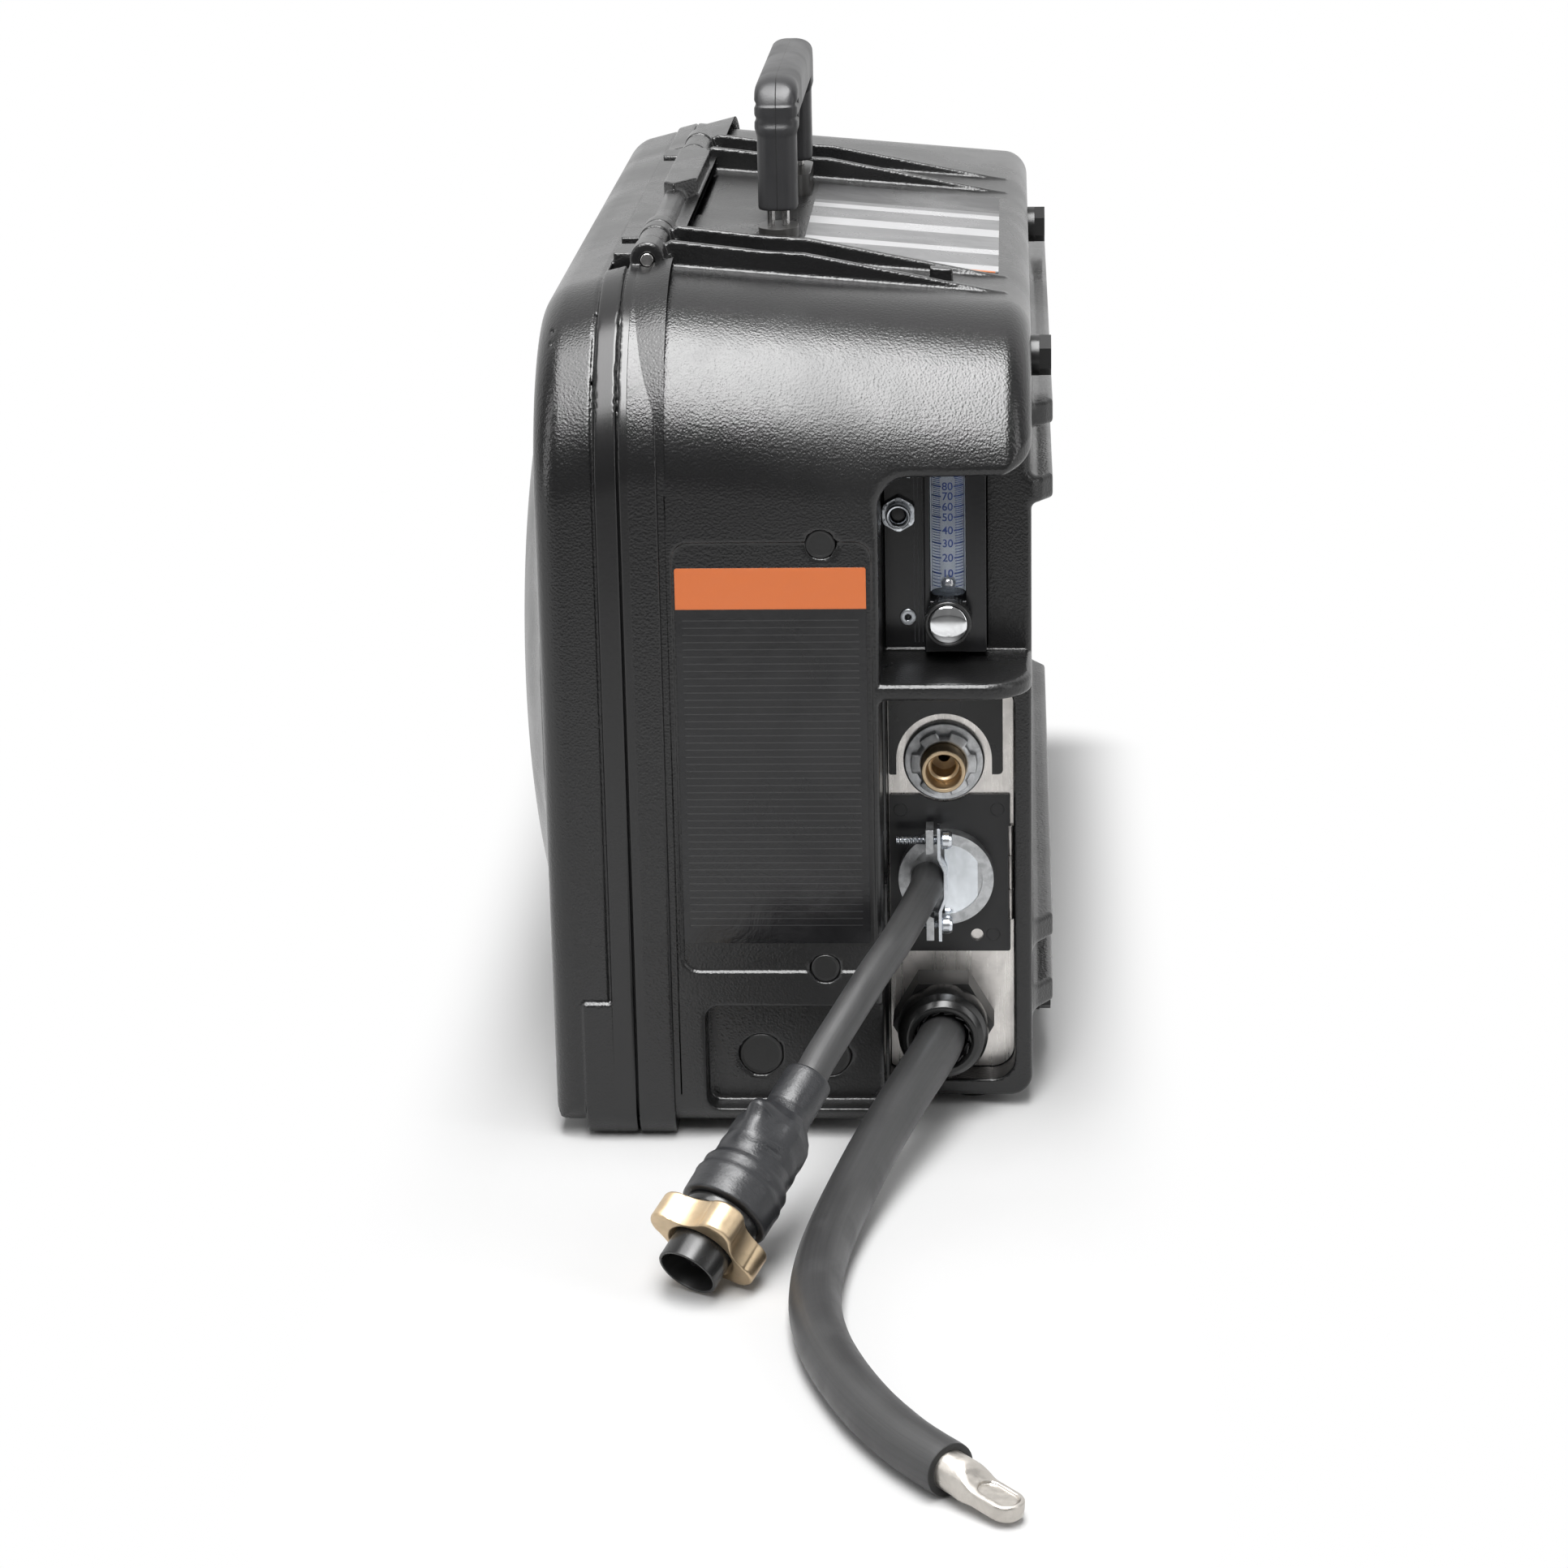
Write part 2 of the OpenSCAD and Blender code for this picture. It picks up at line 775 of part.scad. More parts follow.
module purge_nut() {
    color(ZINC)
        seat()
            difference() {
                union() {
                    hex_y(47, PANEL_Y, PURGE[0], PURGE[1], 12.4);
                    disc_y(44.5, 47, PURGE[0], PURGE[1], 5.6);
                    disc_y(PANEL_Y, 60, PURGE[0], PURGE[1], 4.1);
                }
                disc_y(40, 58, PURGE[0], PURGE[1], 3.3);
            }
}

module purge_button() {
    color(GLOSS)
        seat()
            disc_y(46, 54.5, PURGE[0], PURGE[1], 3.24);
}

module panel_eyelets() {
    color(ZINC)
        seat()
            for (p = [[116.8, 219.2], [117.5, 281]])
                difference() {
                    union() {
                        disc_y(PANEL_Y - 0.8, PANEL_Y, p[0], p[1], 3.4);
                        disc_y(PANEL_Y - 0.8, PANEL_Y + 2, p[0], p[1], 1.5);
                    }
                    disc_y(PANEL_Y - 2, PANEL_Y + 1, p[0], p[1], 1.1);
                }
}

// ----------------------------------------------------------- lower pocket

module steel_panel() {
    color(STEEL)
        seat()
            difference() {
                along_y(STEEL_Y, STEEL_Y + 2)
                    outline(STEEL_X[0] + 0.3, STEEL_Z[0] + 0.3, STEEL_X[1] - 0.3,
                            STEEL_Z[1] - 0.3, [2, 9.7, 9.7, 2]);
                disc_y(50, 60, INLET[0], INLET[1], 9.7);
                disc_y(50, 60, CLAMP[0], CLAMP[1], 12.6);
                disc_y(50, 60, GLAND[0], GLAND[1], 15.2);
            }
}

// Black film on the upper part of the steel panel
module panel_decal() {
    color(GLOSS)
        seat()
            difference() {
                along_y(STEEL_Y - 0.3, STEEL_Y)
                    outline(107.6, 147.6, 156.6, 191, [1, 2, 8, 1]);
                disc_y(50, 60, INLET[0], INLET[1], 20.5);
                translate([INLET[0] - 20.5, 50, 140])
                    cube([41, 10, INLET[1] - 140]);
            }
}

module inlet_ring() {
    color(ZINC)
        seat()
            difference() {
                disc_y(51.5, STEEL_Y, INLET[0], INLET[1], 17.5);
                disc_y(50, 56, INLET[0], INLET[1], 9.7);
            }
}

module inlet_locknut() {
    color(ZINC)
        seat()
            difference() {
                disc_y(47.5, 51.5, INLET[0], INLET[1], 14.4);
                disc_y(46, 52, INLET[0], INLET[1], 9.7);
                for (a = [15 : 60 : 315])
                    translate([INLET[0] + 15 * cos(a), 52, INLET[1] + 15 * sin(a)])
                        rotate([90, 0, 0])
                            cylinder(h = 6, r = 2.4, $fn = 24);
            }
}

module gas_inlet() {
    color(BRASS)
        seat()
            difference() {
                union() {
                    disc_y(37, 66, INLET[0], INLET[1], 9.5);
                    hex_y(BACK_Y, 71, INLET[0], INLET[1], 22);
                    disc_y(71, 84, INLET[0], INLET[1], 5);
                }
                disc_y(36, 49, INLET[0], INLET[1], 7.25);
                disc_y(48, 62, INLET[0], INLET[1], 5.95);
                disc_y(60, 85, INLET[0], INLET[1], 2.5);
            }
}

module cover_plate() {
    color(BLACK)
        seat()
            difference() {
                along_y(STEEL_Y - 1.5, STEEL_Y)
                    outline(107.6, 67.5, 159.6, 139, [1, 1, 1, 1]);
                disc_y(50, 60, INLET[0], INLET[1], 18.6);
                disc_y(50, 60, 145.2, 75, 2.7);
                disc_y(50, 60, CLAMP[0], CLAMP[1], 12.6);
            }
    // rolled edge
    color(ZINC)
        seat()
            translate([159.9, STEEL_Y - 1, 82])
                cylinder(h = 43, r = 0.9);
}

SCREW_Z = 19.2;            // distance of the clamp screws from its centre

module clamp_body() {
    color(ZINC)
        seat()
            difference() {
                union() {
                    disc_y(46, STEEL_Y - 1.5, CLAMP[0], CLAMP[1], CLAMP_R);
                    disc_y(STEEL_Y - 2, BACK_Y + 1, CLAMP[0], CLAMP[1], 12.5);
                    // ears for the two screws
                    for (z = [14, -25])
                        translate([CLAMP[0] - 8.4, 37.5, CLAMP[1] + z])
                            cube([3.2, 12, 11]);
                }
                // hollow for the cable and the pressure disc
                disc_y(30, 50, CLAMP[0], CLAMP[1], CLAMP_R - 4.8);
                for (z = [SCREW_Z, -SCREW_Z])
                    disc_x(CLAMP[0] - 12, CLAMP[0] + 1, 42, CLAMP[1] + z, 1.85);
            }
    // bright half disc behind the cable
    color(ZINC)
        seat()
            intersection() {
                disc_y(47.5, 50.5, CLAMP[0], CLAMP[1], CLAMP_R - 4.6);
                translate([CLAMP[0] - 0.8, 30, CLAMP[1] - 20])
                    cube([30, 30, 40]);
            }
}

module clamp_strap() {
    color(ZINC)
        seat()
            difference() {
                translate([CLAMP[0], 0, CLAMP[1]])
                    along_y(37.5, 45.5)
                        polygon([[-3.6, 25.5], [-3.6, 12], [-0.9, 6], [-0.9, -6], [-3.2, -12],
                                 [-3.2, -25.5], [-1.8, -25.5], [-1.8, -12], [0.5, -6], [0.5, 6],
                                 [-2.2, 12], [-2.2, 25.5]]);
                for (z = [SCREW_Z, -SCREW_Z])
                    disc_x(CLAMP[0] - 6, CLAMP[0] + 2, 42, CLAMP[1] + z, 1.85);
            }
}

module clamp_screws() {
    color(ZINC)
        seat()
            for (z = [SCREW_Z, -SCREW_Z]) {
                disc_x(CLAMP[0] - 21.5, CLAMP[0] - 1, 42, CLAMP[1] + z, 1.8);
                disc_x(CLAMP[0] - 1.7, CLAMP[0] + 3, 42, CLAMP[1] + z, 3.8);
            }
}

module gland_body() {
    color(BLACK)
        seat()
            difference() {
                union() {
                    hex_y(37, STEEL_Y, GLAND[0], GLAND[1], 38);
                    disc_y(26, 40, GLAND[0], GLAND[1], 16);
                    disc_y(STEEL_Y, 74, GLAND[0], GLAND[1], 15);
                }
                disc_y(20, 44, GLAND[0], GLAND[1], 11);
                for (a = [0 : 36 : 324])
                    translate([GLAND[0], 25, GLAND[1]])
                        rotate([0, a, 0])
                            translate([-0.5, 0, 11])
                                cube([1, 9, 6]);
                disc_y(60, 75, GLAND[0], GLAND[1], 11);
            }
}

module gland_cap() {
    color(GLOSS)
        seat()
            difference() {
                translate([GLAND[0], 37, GLAND[1]])
                    rotate([90, 0, 0])
                        rotate_extrude()
                            polygon([[11.5, 0], [19.6, 0], [19.6, 8], [19, 12.4], [17.4, 16.6],
                                     [15.4, 18.6], [11.5, 18.6]]);
                disc_y(10, 40, GLAND[0], GLAND[1], 12.4);
                disc_y(25, 40, GLAND[0], GLAND[1], 16.1);
            }
}

// ----------------------------------------------------------------- cables

TUBE_SIDES = 10;

function unit(v) = v / norm(v);

function tangent(p, i) = unit(p[min(i + 1, len(p) - 1)] - p[max(i - 1, 0)]);

// Direction of one side of a ring square to the route; the routes never run
// straight up, so the ring is turned from the vertical
function ring_point(p, i, r, a) =
    let (t = tangent(p, i), u = unit(cross(t, [0, 0, 1])), v = cross(u, t))
        p[i] + r * (cos(a) * u + sin(a) * v);

function tube_points(p, r) =
    [for (i = [0 : len(p) - 1]) for (k = [0 : TUBE_SIDES - 1])
        ring_point(p, i, r, 360 * k / TUBE_SIDES)];

function ring_faces(n) =
    [for (i = [0 : n - 2]) for (k = [0 : TUBE_SIDES - 1])
        let (a = i * TUBE_SIDES + k, b = i * TUBE_SIDES + (k + 1) % TUBE_SIDES)
            [a, a + TUBE_SIDES, b + TUBE_SIDES, b]];

module tube(p, r) {
    n = len(p);
    polyhedron(
        points = tube_points(p, r),
        faces = concat([[for (k = [0 : TUBE_SIDES - 1]) k]], ring_faces(n),
                       [[for (k = [TUBE_SIDES - 1 : -1 : 0]) (n - 1) * TUBE_SIDES + k]]));
}

module power_cable() {
    color(RUBBER)
        seat()
            tube(POWER_ROUTE, power_d / 2);
}

module power_lug() {
    color(STEEL)
        seat()
            translate(POWER_ROUTE[len(POWER_ROUTE) - 1])
                rotate([0, LUG_DIP, LUG_TURN]) {
                    translate([-8, 0, 0])
                        rotate([0, 90, 0])
                            cylinder(h = 20, r = 7.4);
                    // flattened tongue with a shallow blind recess in its top
                    difference() {
                        along_z(-4.4, 2.2) {
                            translate([8, -7.3])
                                square([18, 14.6]);
                            translate([26, 0])
                                circle(7.3);
                        }
                        along_z(1.2, 3)
                            hull() {
                                translate([19, 0])
                                    circle(4.2);
                                translate([27, 0])
                                    circle(4.2);
                            }
                    }
                }
}

module control_cable() {
    color(RUBBER)
        seat()
            tube(CONTROL_ROUTE, control_d / 2);
}

// Frame of the plug: +Z runs along it towards its open end
module plug_axis() {
    translate(PLUG_AT)
        rotate([0, 90 + PLUG_DIP, PLUG_TURN])
            children();
}

module plug_boot() {
    color(RUBBER)
        seat()
            plug_axis()
                difference() {
                    union() {
                        rotate_extrude()
                            polygon([[0, 0], [10, 0], [10.2, 1], [10.2, 19], [11, 22], [15, 27],
                                     [16.2, 31], [16.2, 48], [16.8, 52], [18.2, 55], [18.7, 58],
                                     [18.7, 72], [0, 72]]);
                        for (s = [-1, 1])
                            translate([0, s * 13.6, 29.5])
                                sphere(r = 5.6);
                    }
                    translate([0, 0, 62])
                        cylinder(h = 20, r = 12.7);
                }
}

module plug_shell() {
    color(GLOSS)
        seat()
            plug_axis()
                difference() {
                    union() {
                        translate([0, 0, 62])
                            cylinder(h = 39, r = 12.6);
                        translate([0, 0, 72.2])
                            cylinder(h = 4.4, r = 16);
                        translate([0, 0, 81.4])
                            cylinder(h = 1.4, r = 13.9);
                    }
                    translate([0, 0, 84])
                        cylinder(h = 30, r = 11.4);
                }
}

module plug_insert() {
    color(BLACK)
        seat()
            plug_axis()
                difference() {
                    translate([0, 0, 84])
                        cylinder(h = 8, r = 11.3);
                    for (ring = [[4, 4.2], [10, 8.6]])
                        for (i = [0 : ring[0] - 1])
                            rotate(i * 360 / ring[0])
                                translate([ring[1], 0, 88])
                                    cylinder(h = 10, r = 1.1, $fn = 16);
                }
}

// Four rounded wings round a threaded collar
module wing_outline() {
    intersection() {
        difference() {
            circle(24);
            for (a = [45 : 90 : 315])
                rotate(a)
                    translate([29, 0])
                        circle(13);
        }
        union() {
            circle(19);
            for (a = [0 : 90 : 270])
                rotate(a)
                    translate([16.5, 0])
                        circle(7.5);
        }
    }
}

module coupling_nut() {
    color(BRASS)
        seat()
            plug_axis()
                rotate(50)
                    difference() {
                        translate([0, 0, 77])
                            linear_extrude(13)
                                wing_outline();
                        translate([0, 0, 76])
                            cylinder(h = 20, r = 12.66);
                        translate([0, 0, 81])
                            cylinder(h = 20, r = 14.3);
                    }
}

// ----------------------------------------------------------------- inside

module chassis_plate() {
    color(ZINC)
        seat()
            difference() {
                union() {
                    along_x(PLATE_X[0], PLATE_X[1])
                        outline(22, 12, 545, 344, [8, 10, 92, 72]);
                    // posts that the side bolts screw into
                    for (b = BOLT_YZ)
                        disc_x(PLATE_X[1], case_w - wall - 1, b[0], b[1], 8);
                    // shaft of the spool spindle
                    disc_x(-43, PLATE_X[1], spool_y, spool_z, 8);
                }
                for (b = BOLT_YZ)
                    disc_x(135, 190, b[0], b[1], 4.1);
            }
}

module spool_spindle() {
    color(BLACK)
        seat()
            difference() {
                union() {
                    disc_x(-36, 58, spool_y, spool_z, spindle_r);
                    disc_x(54, 58, spool_y, spool_z, 40);
                }
                disc_x(-37, 59, spool_y, spool_z, 8.06);
            }
}

module spindle_knob() {
    color(BLACK)
        seat()
            difference() {
                union() {
                    disc_x(-46, -37, spool_y, spool_z, 15);
                    for (a = [0 : 120 : 240])
                        translate([-46, spool_y, spool_z])
                            rotate([a, 0, 0])
                                translate([0, -3.5, 10])
                                    cube([9, 7, 14]);
                }
                disc_x(-43.5, -36, spool_y, spool_z, 8.06);
            }
}

module drive_motor() {
    color(BLACK)
        seat() {
            disc_x(PLATE_X[1], 148, ROLL_Y, WIRE[1] - ROLL_R, 31);
            disc_x(148, 152, ROLL_Y, WIRE[1] - ROLL_R, 12);
        }
}

module gearbox() {
    color(ZINC)
        seat()
            difference() {
                union() {
                    along_x(46, PLATE_X[0])
                        outline(378, 104, 484, 196, [8, 8, 8, 8]);
                    disc_x(24, 47, ROLL_Y, WIRE[1] - ROLL_R, 6);
                    disc_x(38, 47, ARM_PIVOT[0], ARM_PIVOT[1], 4);
                    // inlet guide on the wire line
                    translate([24, 384, WIRE[1] - 8])
                        cube([23, 16, 16]);
                }
                disc_y(380, 410, WIRE[0], WIRE[1], 2);
            }
}

module drive_roll() {
    color(STEEL)
        seat()
            difference() {
                translate([28, ROLL_Y, WIRE[1] - ROLL_R])
                    rotate([0, 90, 0])
                        rotate_extrude()
                            polygon([[6.06, 0], [ROLL_R, 0], [ROLL_R, 5], [ROLL_R - 0.8, 6],
                                     [ROLL_R, 7], [ROLL_R, 12], [6.06, 12]]);
            }
}

module idle_roll() {
    color(STEEL)
        seat()
            difference() {
                disc_x(28, 40, ROLL_Y, WIRE[1] + IDLE_R + 1, IDLE_R);
                disc_x(27, 41, ROLL_Y, WIRE[1] + IDLE_R + 1, 4.06);
            }
}

module pressure_arm() {
    color(ZINC)
        seat()
            difference() {
                union() {
                    along_x(41, 45) {
                        outline(382, 170, 476, 188, [8, 8, 8, 8]);
                        outline(382, 170, 396, 192, [4, 4, 2, 2]);
                    }
                    disc_x(26, 42, ROLL_Y, WIRE[1] + IDLE_R + 1, 4);
                    // seat of the tension knob
                    translate([29, 382, 188])
                        cube([16, 14, 4]);
                }
                disc_x(40, 46, ARM_PIVOT[0], ARM_PIVOT[1], 4.06);
                translate([36, 389, 180])
                    cylinder(h = 20, r = 2.3);
            }
}

module pressure_knob() {
    color(BLACK)
        seat()
            translate([36, 389, 0]) {
                translate([0, 0, 192.3])
                    cylinder(h = 22, r = 8.5);
                translate([0, 0, 189.4])
                    cylinder(h = 4, r = 2.24);
            }
}

module gas_valve() {
    color(BRASS)
        seat() {
            translate([PLATE_X[1], 486, 66])
                cube([46, 34, 40]);
            disc_y(474, 487, 92, 86, 5);
            translate([85, 503, 106])
                cylinder(h = 22, r = 13);
        }
}

HOSE_ROUTE = [[131.4, 84, 154.3], [131.4, 110, 154.3], [131.4, 140, 151], [130.6, 170, 144],
    [129, 200, 134], [126, 230, 122], [122, 260, 110], [117.6, 290, 100], [112.6, 320, 93],
    [107, 350, 89], [101.6, 380, 87], [97, 410, 86], [93.6, 440, 86], [92, 462, 86],
    [92, 474, 86]];

module gas_hose() {
    color(GLOSS)
        seat()
            tube(HOSE_ROUTE, 5);
}

module control_board() {
    color("#2f6b3a")
        seat() {
            translate([74, 250, 200])
                cube([1.8, 110, 100]);
            for (y = [258, 352], z = [208, 292])
                disc_x(PLATE_X[1], 74, y, z, 3);
            for (y = [268, 292])
                disc_x(75.8, 100, y, 270, 9);
            translate([75.8, 312, 216])
                cube([24, 38, 66]);
        }
}

module front_panel() {
    color(GLOSS)
        seat()
            difference() {
                along_y(536, 538)
                    outline(69.8, 131.8, 148.2, 266.2, [5.7, 5.7, 5.7, 5.7]);
                for (x = DIAL_X)
                    disc_y(530, 540, x, DIAL_Z, 4.18);
                disc_y(530, 540, 109, 147, 5.4);
                along_y(537, 540)
                    outline(78, 214, 140, 248, [3, 3, 3, 3]);
            }
}

module dial(x) {
    difference() {
        union() {
            disc_y(538.6, 556, x, DIAL_Z, 14);
            disc_y(528, 539, x, DIAL_Z, 4.1);
        }
        translate([x - 1, 554, DIAL_Z])
            cube([2, 3, 15]);
    }
}

module speed_knob() {
    color(BLACK)
        seat()
            dial(DIAL_X[0]);
}

module volt_knob() {
    color(BLACK)
        seat()
            dial(DIAL_X[1]);
}

module power_switch() {
    color(ZINC)
        seat()
            translate([109, 536, 147]) {
                sphere(r = 5);
                disc_x(-5.25, 5.25, 0, 0, 0.9);
                rotate([-90 - 12, 0, 0])
                    cylinder(h = 19, r = 2.6);
            }
}

module gun_socket() {
    color(BRASS)
        seat()
            difference() {
                union() {
                    disc_y(490, case_l - 3, WIRE[0], WIRE[1], 19);
                    disc_y(486, 490, WIRE[0], WIRE[1], 8);
                }
                disc_y(530, case_l, WIRE[0], WIRE[1], 9.5);
                disc_y(480, 531, WIRE[0], WIRE[1], 2);
            }
    // bracket to the chassis plate
    color(ZINC)
        seat()
            translate([WIRE[0] + 14, 496, WIRE[1] - 12])
                cube([PLATE_X[0] - WIRE[0] - 14, 24, 24]);
}

case_rear();
case_roof();
case_base();
case_front();
door();
door_seal();
hinge_pins();
latch_knob();
feet();
side_bolts();
hole_plugs();
handle_grip();
handle_rod();
handle_sockets();
rear_label();
top_label();
flow_panel();
flowmeter_body();
flowmeter_tube();
flowmeter_ball();
flow_knob();
flow_knob_cap();
purge_nut();
purge_button();
panel_eyelets();
steel_panel();
panel_decal();
inlet_ring();
inlet_locknut();
gas_inlet();
cover_plate();
clamp_body();
clamp_strap();
clamp_screws();
gland_body();
gland_cap();
power_cable();
power_lug();
control_cable();
plug_boot();
plug_shell();
plug_insert();
coupling_nut();
chassis_plate();
spool_spindle();
spindle_knob();
drive_motor();
gearbox();
drive_roll();
idle_roll();
pressure_arm();
pressure_knob();
gas_valve();
gas_hose();
control_board();
front_panel();
speed_knob();
volt_knob();
power_switch();
gun_socket();
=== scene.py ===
"""Looks of a portable suitcase wire feeder, seen from its connection end.

Surfaces are worked out in millimetres from the door seam (x = 0), the rear
face (y = 0) and the floor (z = 0), and seated() moves them into the frame.
"""

import json
import math

import bmesh
import bpy
import numpy as np
from mathutils import Matrix, Vector

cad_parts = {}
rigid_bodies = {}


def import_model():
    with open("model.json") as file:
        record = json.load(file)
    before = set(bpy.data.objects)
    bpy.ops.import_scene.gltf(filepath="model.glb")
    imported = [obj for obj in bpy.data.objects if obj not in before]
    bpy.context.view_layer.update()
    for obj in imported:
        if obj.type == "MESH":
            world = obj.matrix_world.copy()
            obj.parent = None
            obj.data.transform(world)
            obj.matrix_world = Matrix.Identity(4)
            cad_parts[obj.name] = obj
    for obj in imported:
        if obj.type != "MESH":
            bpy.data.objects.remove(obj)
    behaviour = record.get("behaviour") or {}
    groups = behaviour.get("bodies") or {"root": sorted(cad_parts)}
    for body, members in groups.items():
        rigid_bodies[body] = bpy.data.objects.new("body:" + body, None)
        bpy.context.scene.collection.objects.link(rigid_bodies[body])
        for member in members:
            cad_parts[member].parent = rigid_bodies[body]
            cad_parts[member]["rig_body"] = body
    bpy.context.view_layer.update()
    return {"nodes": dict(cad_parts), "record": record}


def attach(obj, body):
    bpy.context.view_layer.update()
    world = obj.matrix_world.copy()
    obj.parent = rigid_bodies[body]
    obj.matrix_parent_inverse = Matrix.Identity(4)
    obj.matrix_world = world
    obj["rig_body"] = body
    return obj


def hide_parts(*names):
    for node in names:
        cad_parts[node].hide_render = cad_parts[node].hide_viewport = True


bl_info = {
    "name": "Suitcase Wire Feeder",
    "version": (1, 0, 0),
    "blender": (4, 5, 0),
    "location": "3D View > Sidebar > Feeder",
    "description": "Builds the surfaces, finishes and stage of a portable wire feeder",
    "category": "Add Mesh",
}

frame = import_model()

SEAT = np.array([60.5, 282.0, 0.0])
ROOF_Z, ROOF_TILT, DOOR_TILT = 364.0, 5.3, -14.0
LENGTH, RIGHT, PROUD, WALL = 564.0, 169.0, 1.5, 4.0
HINGE = (8.0, 367.5)
CASE_KNUCKLES = ((78, 96), (120, 134), (346, 360), (382, 400))
DOOR_KNUCKLES = ((96.5, 119.5), (134.5, 345.5), (360.5, 381.5))
INLET, CLAMP, GLAND = (131.4, 154.3), (132.0, 103.0), (130.5, 39.2)
FLOW, PURGE = (134.0, 42.8), (113.2, 264.4)
HANDLE_X, HANDLE_Y = 57.7, (184.0, 324.0)
SPOOL = (190.0, 178.0)
ROUND_PLUGS = ((82.3, 263, 6.2, 3.1), (81.5, 78, 6.2, 3.1), (52.7, 34.7, 9.3, 14.4), (81.8, 33.9, 9.3, 14.4))
PLUG_AT = np.array([78.4, -86.6, 63.8])
PLUG_DIP, PLUG_TURN = math.radians(31), math.radians(-121.6)
PLUG_AXIS = np.array([
    math.cos(PLUG_DIP) * math.cos(PLUG_TURN),
    math.cos(PLUG_DIP) * math.sin(PLUG_TURN),
    -math.sin(PLUG_DIP),
])
POWER_ROUTE = (
    (130.5, 44, 39.2), (130.5, 34, 39.2), (129, 18, 38.6), (124.5, 1, 36.4), (118, -17, 32.4),
    (110, -38, 26.6), (102, -62, 20.6), (95, -88, 15.6), (89.4, -114, 12.4), (85.6, -140, 10.8),
    (84, -167, 10.4), (85, -195, 10.4), (89.8, -223, 10.4), (98, -250, 10.4), (108.6, -276, 10.4),
    (121, -299, 10.4), (130, -312, 10.4), (138, -322, 10.4),
)
CONTROL_ROUTE = (
    (123.8, 50, 103), (123.8, 38, 103), (121.6, 25, 102.2), (117.4, 6, 99.8), (111, -15.6, 95.4),
    (103.6, -33.6, 90), (96.6, -49.4, 83.6), (89.4, -64.4, 76.4), (83, -77, 69.6), (78.4, -86.6, 63.8),
)
POWER_RADIUS, CONTROL_RADIUS = 10.25, 7.0
LUG_TURN, LUG_DIP = math.radians(-43), math.radians(7)
NIPPLE = math.radians(96)
RIBS, RIB_THICK = (90, 126, 346, 386), 4
RIB_SIDE = [(10, 348), (10, 369), (17, 373.3), (53, 368.8), (74, 367.2), (158, 349.6), (158, 340)]
SCALE = (234.5, 241.6, 248.3, 254.5, 260.1, 265.7, 270.2, 274.7, 278.9, 283.0, 287.0, 291.0)
TUBE_RADIUS = 7.1
X_AXIS, Y_AXIS, Z_AXIS = (1, 0, 0), (0, 1, 0), (0, 0, 1)
STRIP_WIDE, STRIP_DEEP = 18.5, 100
FAR_ABOVE = 1000.0
MERGE, FLAT = 2e-6, math.radians(0.6)


# ------------------------------------------------------------ numpy shapes


def seated(points):
    """Millimetres from the seam, rear face and floor become metres in the frame."""
    return (np.asarray(points, float) - SEAT) / 1000.0


def unit(v):
    v = np.asarray(v, float)
    return v / np.linalg.norm(v, axis=-1, keepdims=True)


def round_and(a, b, r):
    """Both solids at once; the edge where their faces meet is a quarter circle of radius r."""
    return np.minimum(-r, np.maximum(a, b)) + np.hypot(np.maximum(r + a, 0), np.maximum(r + b, 0))


def round_or(a, b, r):
    """Either solid; the inner corner where they meet is a fillet of radius r."""
    return np.maximum(r, np.minimum(a, b)) - np.hypot(np.maximum(r - a, 0), np.maximum(r - b, 0))


def rect(u, v, u0, v0, u1, v1, radii=(0, 0, 0, 0)):
    """Distance to a rectangle. Its corners have their own radii: bottom left, bottom right, top right, top left."""
    cu, cv = (u0 + u1) / 2, (v0 + v1) / 2
    r = np.where(u < cu, np.where(v < cv, radii[0], radii[3]), np.where(v < cv, radii[1], radii[2]))
    a = np.abs(u - cu) - (u1 - u0) / 2 + r
    b = np.abs(v - cv) - (v1 - v0) / 2 + r
    return np.minimum(np.maximum(a, b), 0) + np.hypot(np.maximum(a, 0), np.maximum(b, 0)) - r


def polygon(u, v, corners):
    """Distance to a polygon: the nearest edge, with the sign from counting edges crossed."""
    far, odd = np.full(np.broadcast(u, v).shape, 1e9), np.zeros(np.broadcast(u, v).shape, bool)
    for (a, b), (c, d) in zip(corners, corners[1:] + corners[:1]):
        eu, ev = c - a, d - b
        t = np.clip(((u - a) * eu + (v - b) * ev) / (eu * eu + ev * ev), 0, 1)
        far = np.minimum(far, np.hypot(u - a - t * eu, v - b - t * ev))
        if ev:
            odd ^= ((v >= b) != (v >= d)) & (u < a + (v - b) * eu / ev)
    return np.where(odd, -far, far)


def common(first, *others):
    """The space that all the shapes share."""
    for other in others:
        first = np.maximum(first, other)
    return first


def slab(u, low, high):
    """Distance to the space between two planes."""
    return np.maximum(low - u, u - high)


def disc(u, v, cu, cv, r):
    """Distance to a round bar."""
    return np.hypot(u - cu, v - cv) - r


def lines(low, high, coarse, fine, marks, reach=2.0):
    """Grid lines: fine apart near each mark, growing with the distance to the nearest one up to coarse."""
    at = [low]
    while at[-1] < high:
        spans = [(m, m) if np.isscalar(m) else m for m in marks]
        gap = min(max(a - at[-1], at[-1] - b, 0) - reach for a, b in spans)
        at.append(at[-1] + min(max(gap * 0.6, fine), coarse))
    return np.array(at, np.float32)


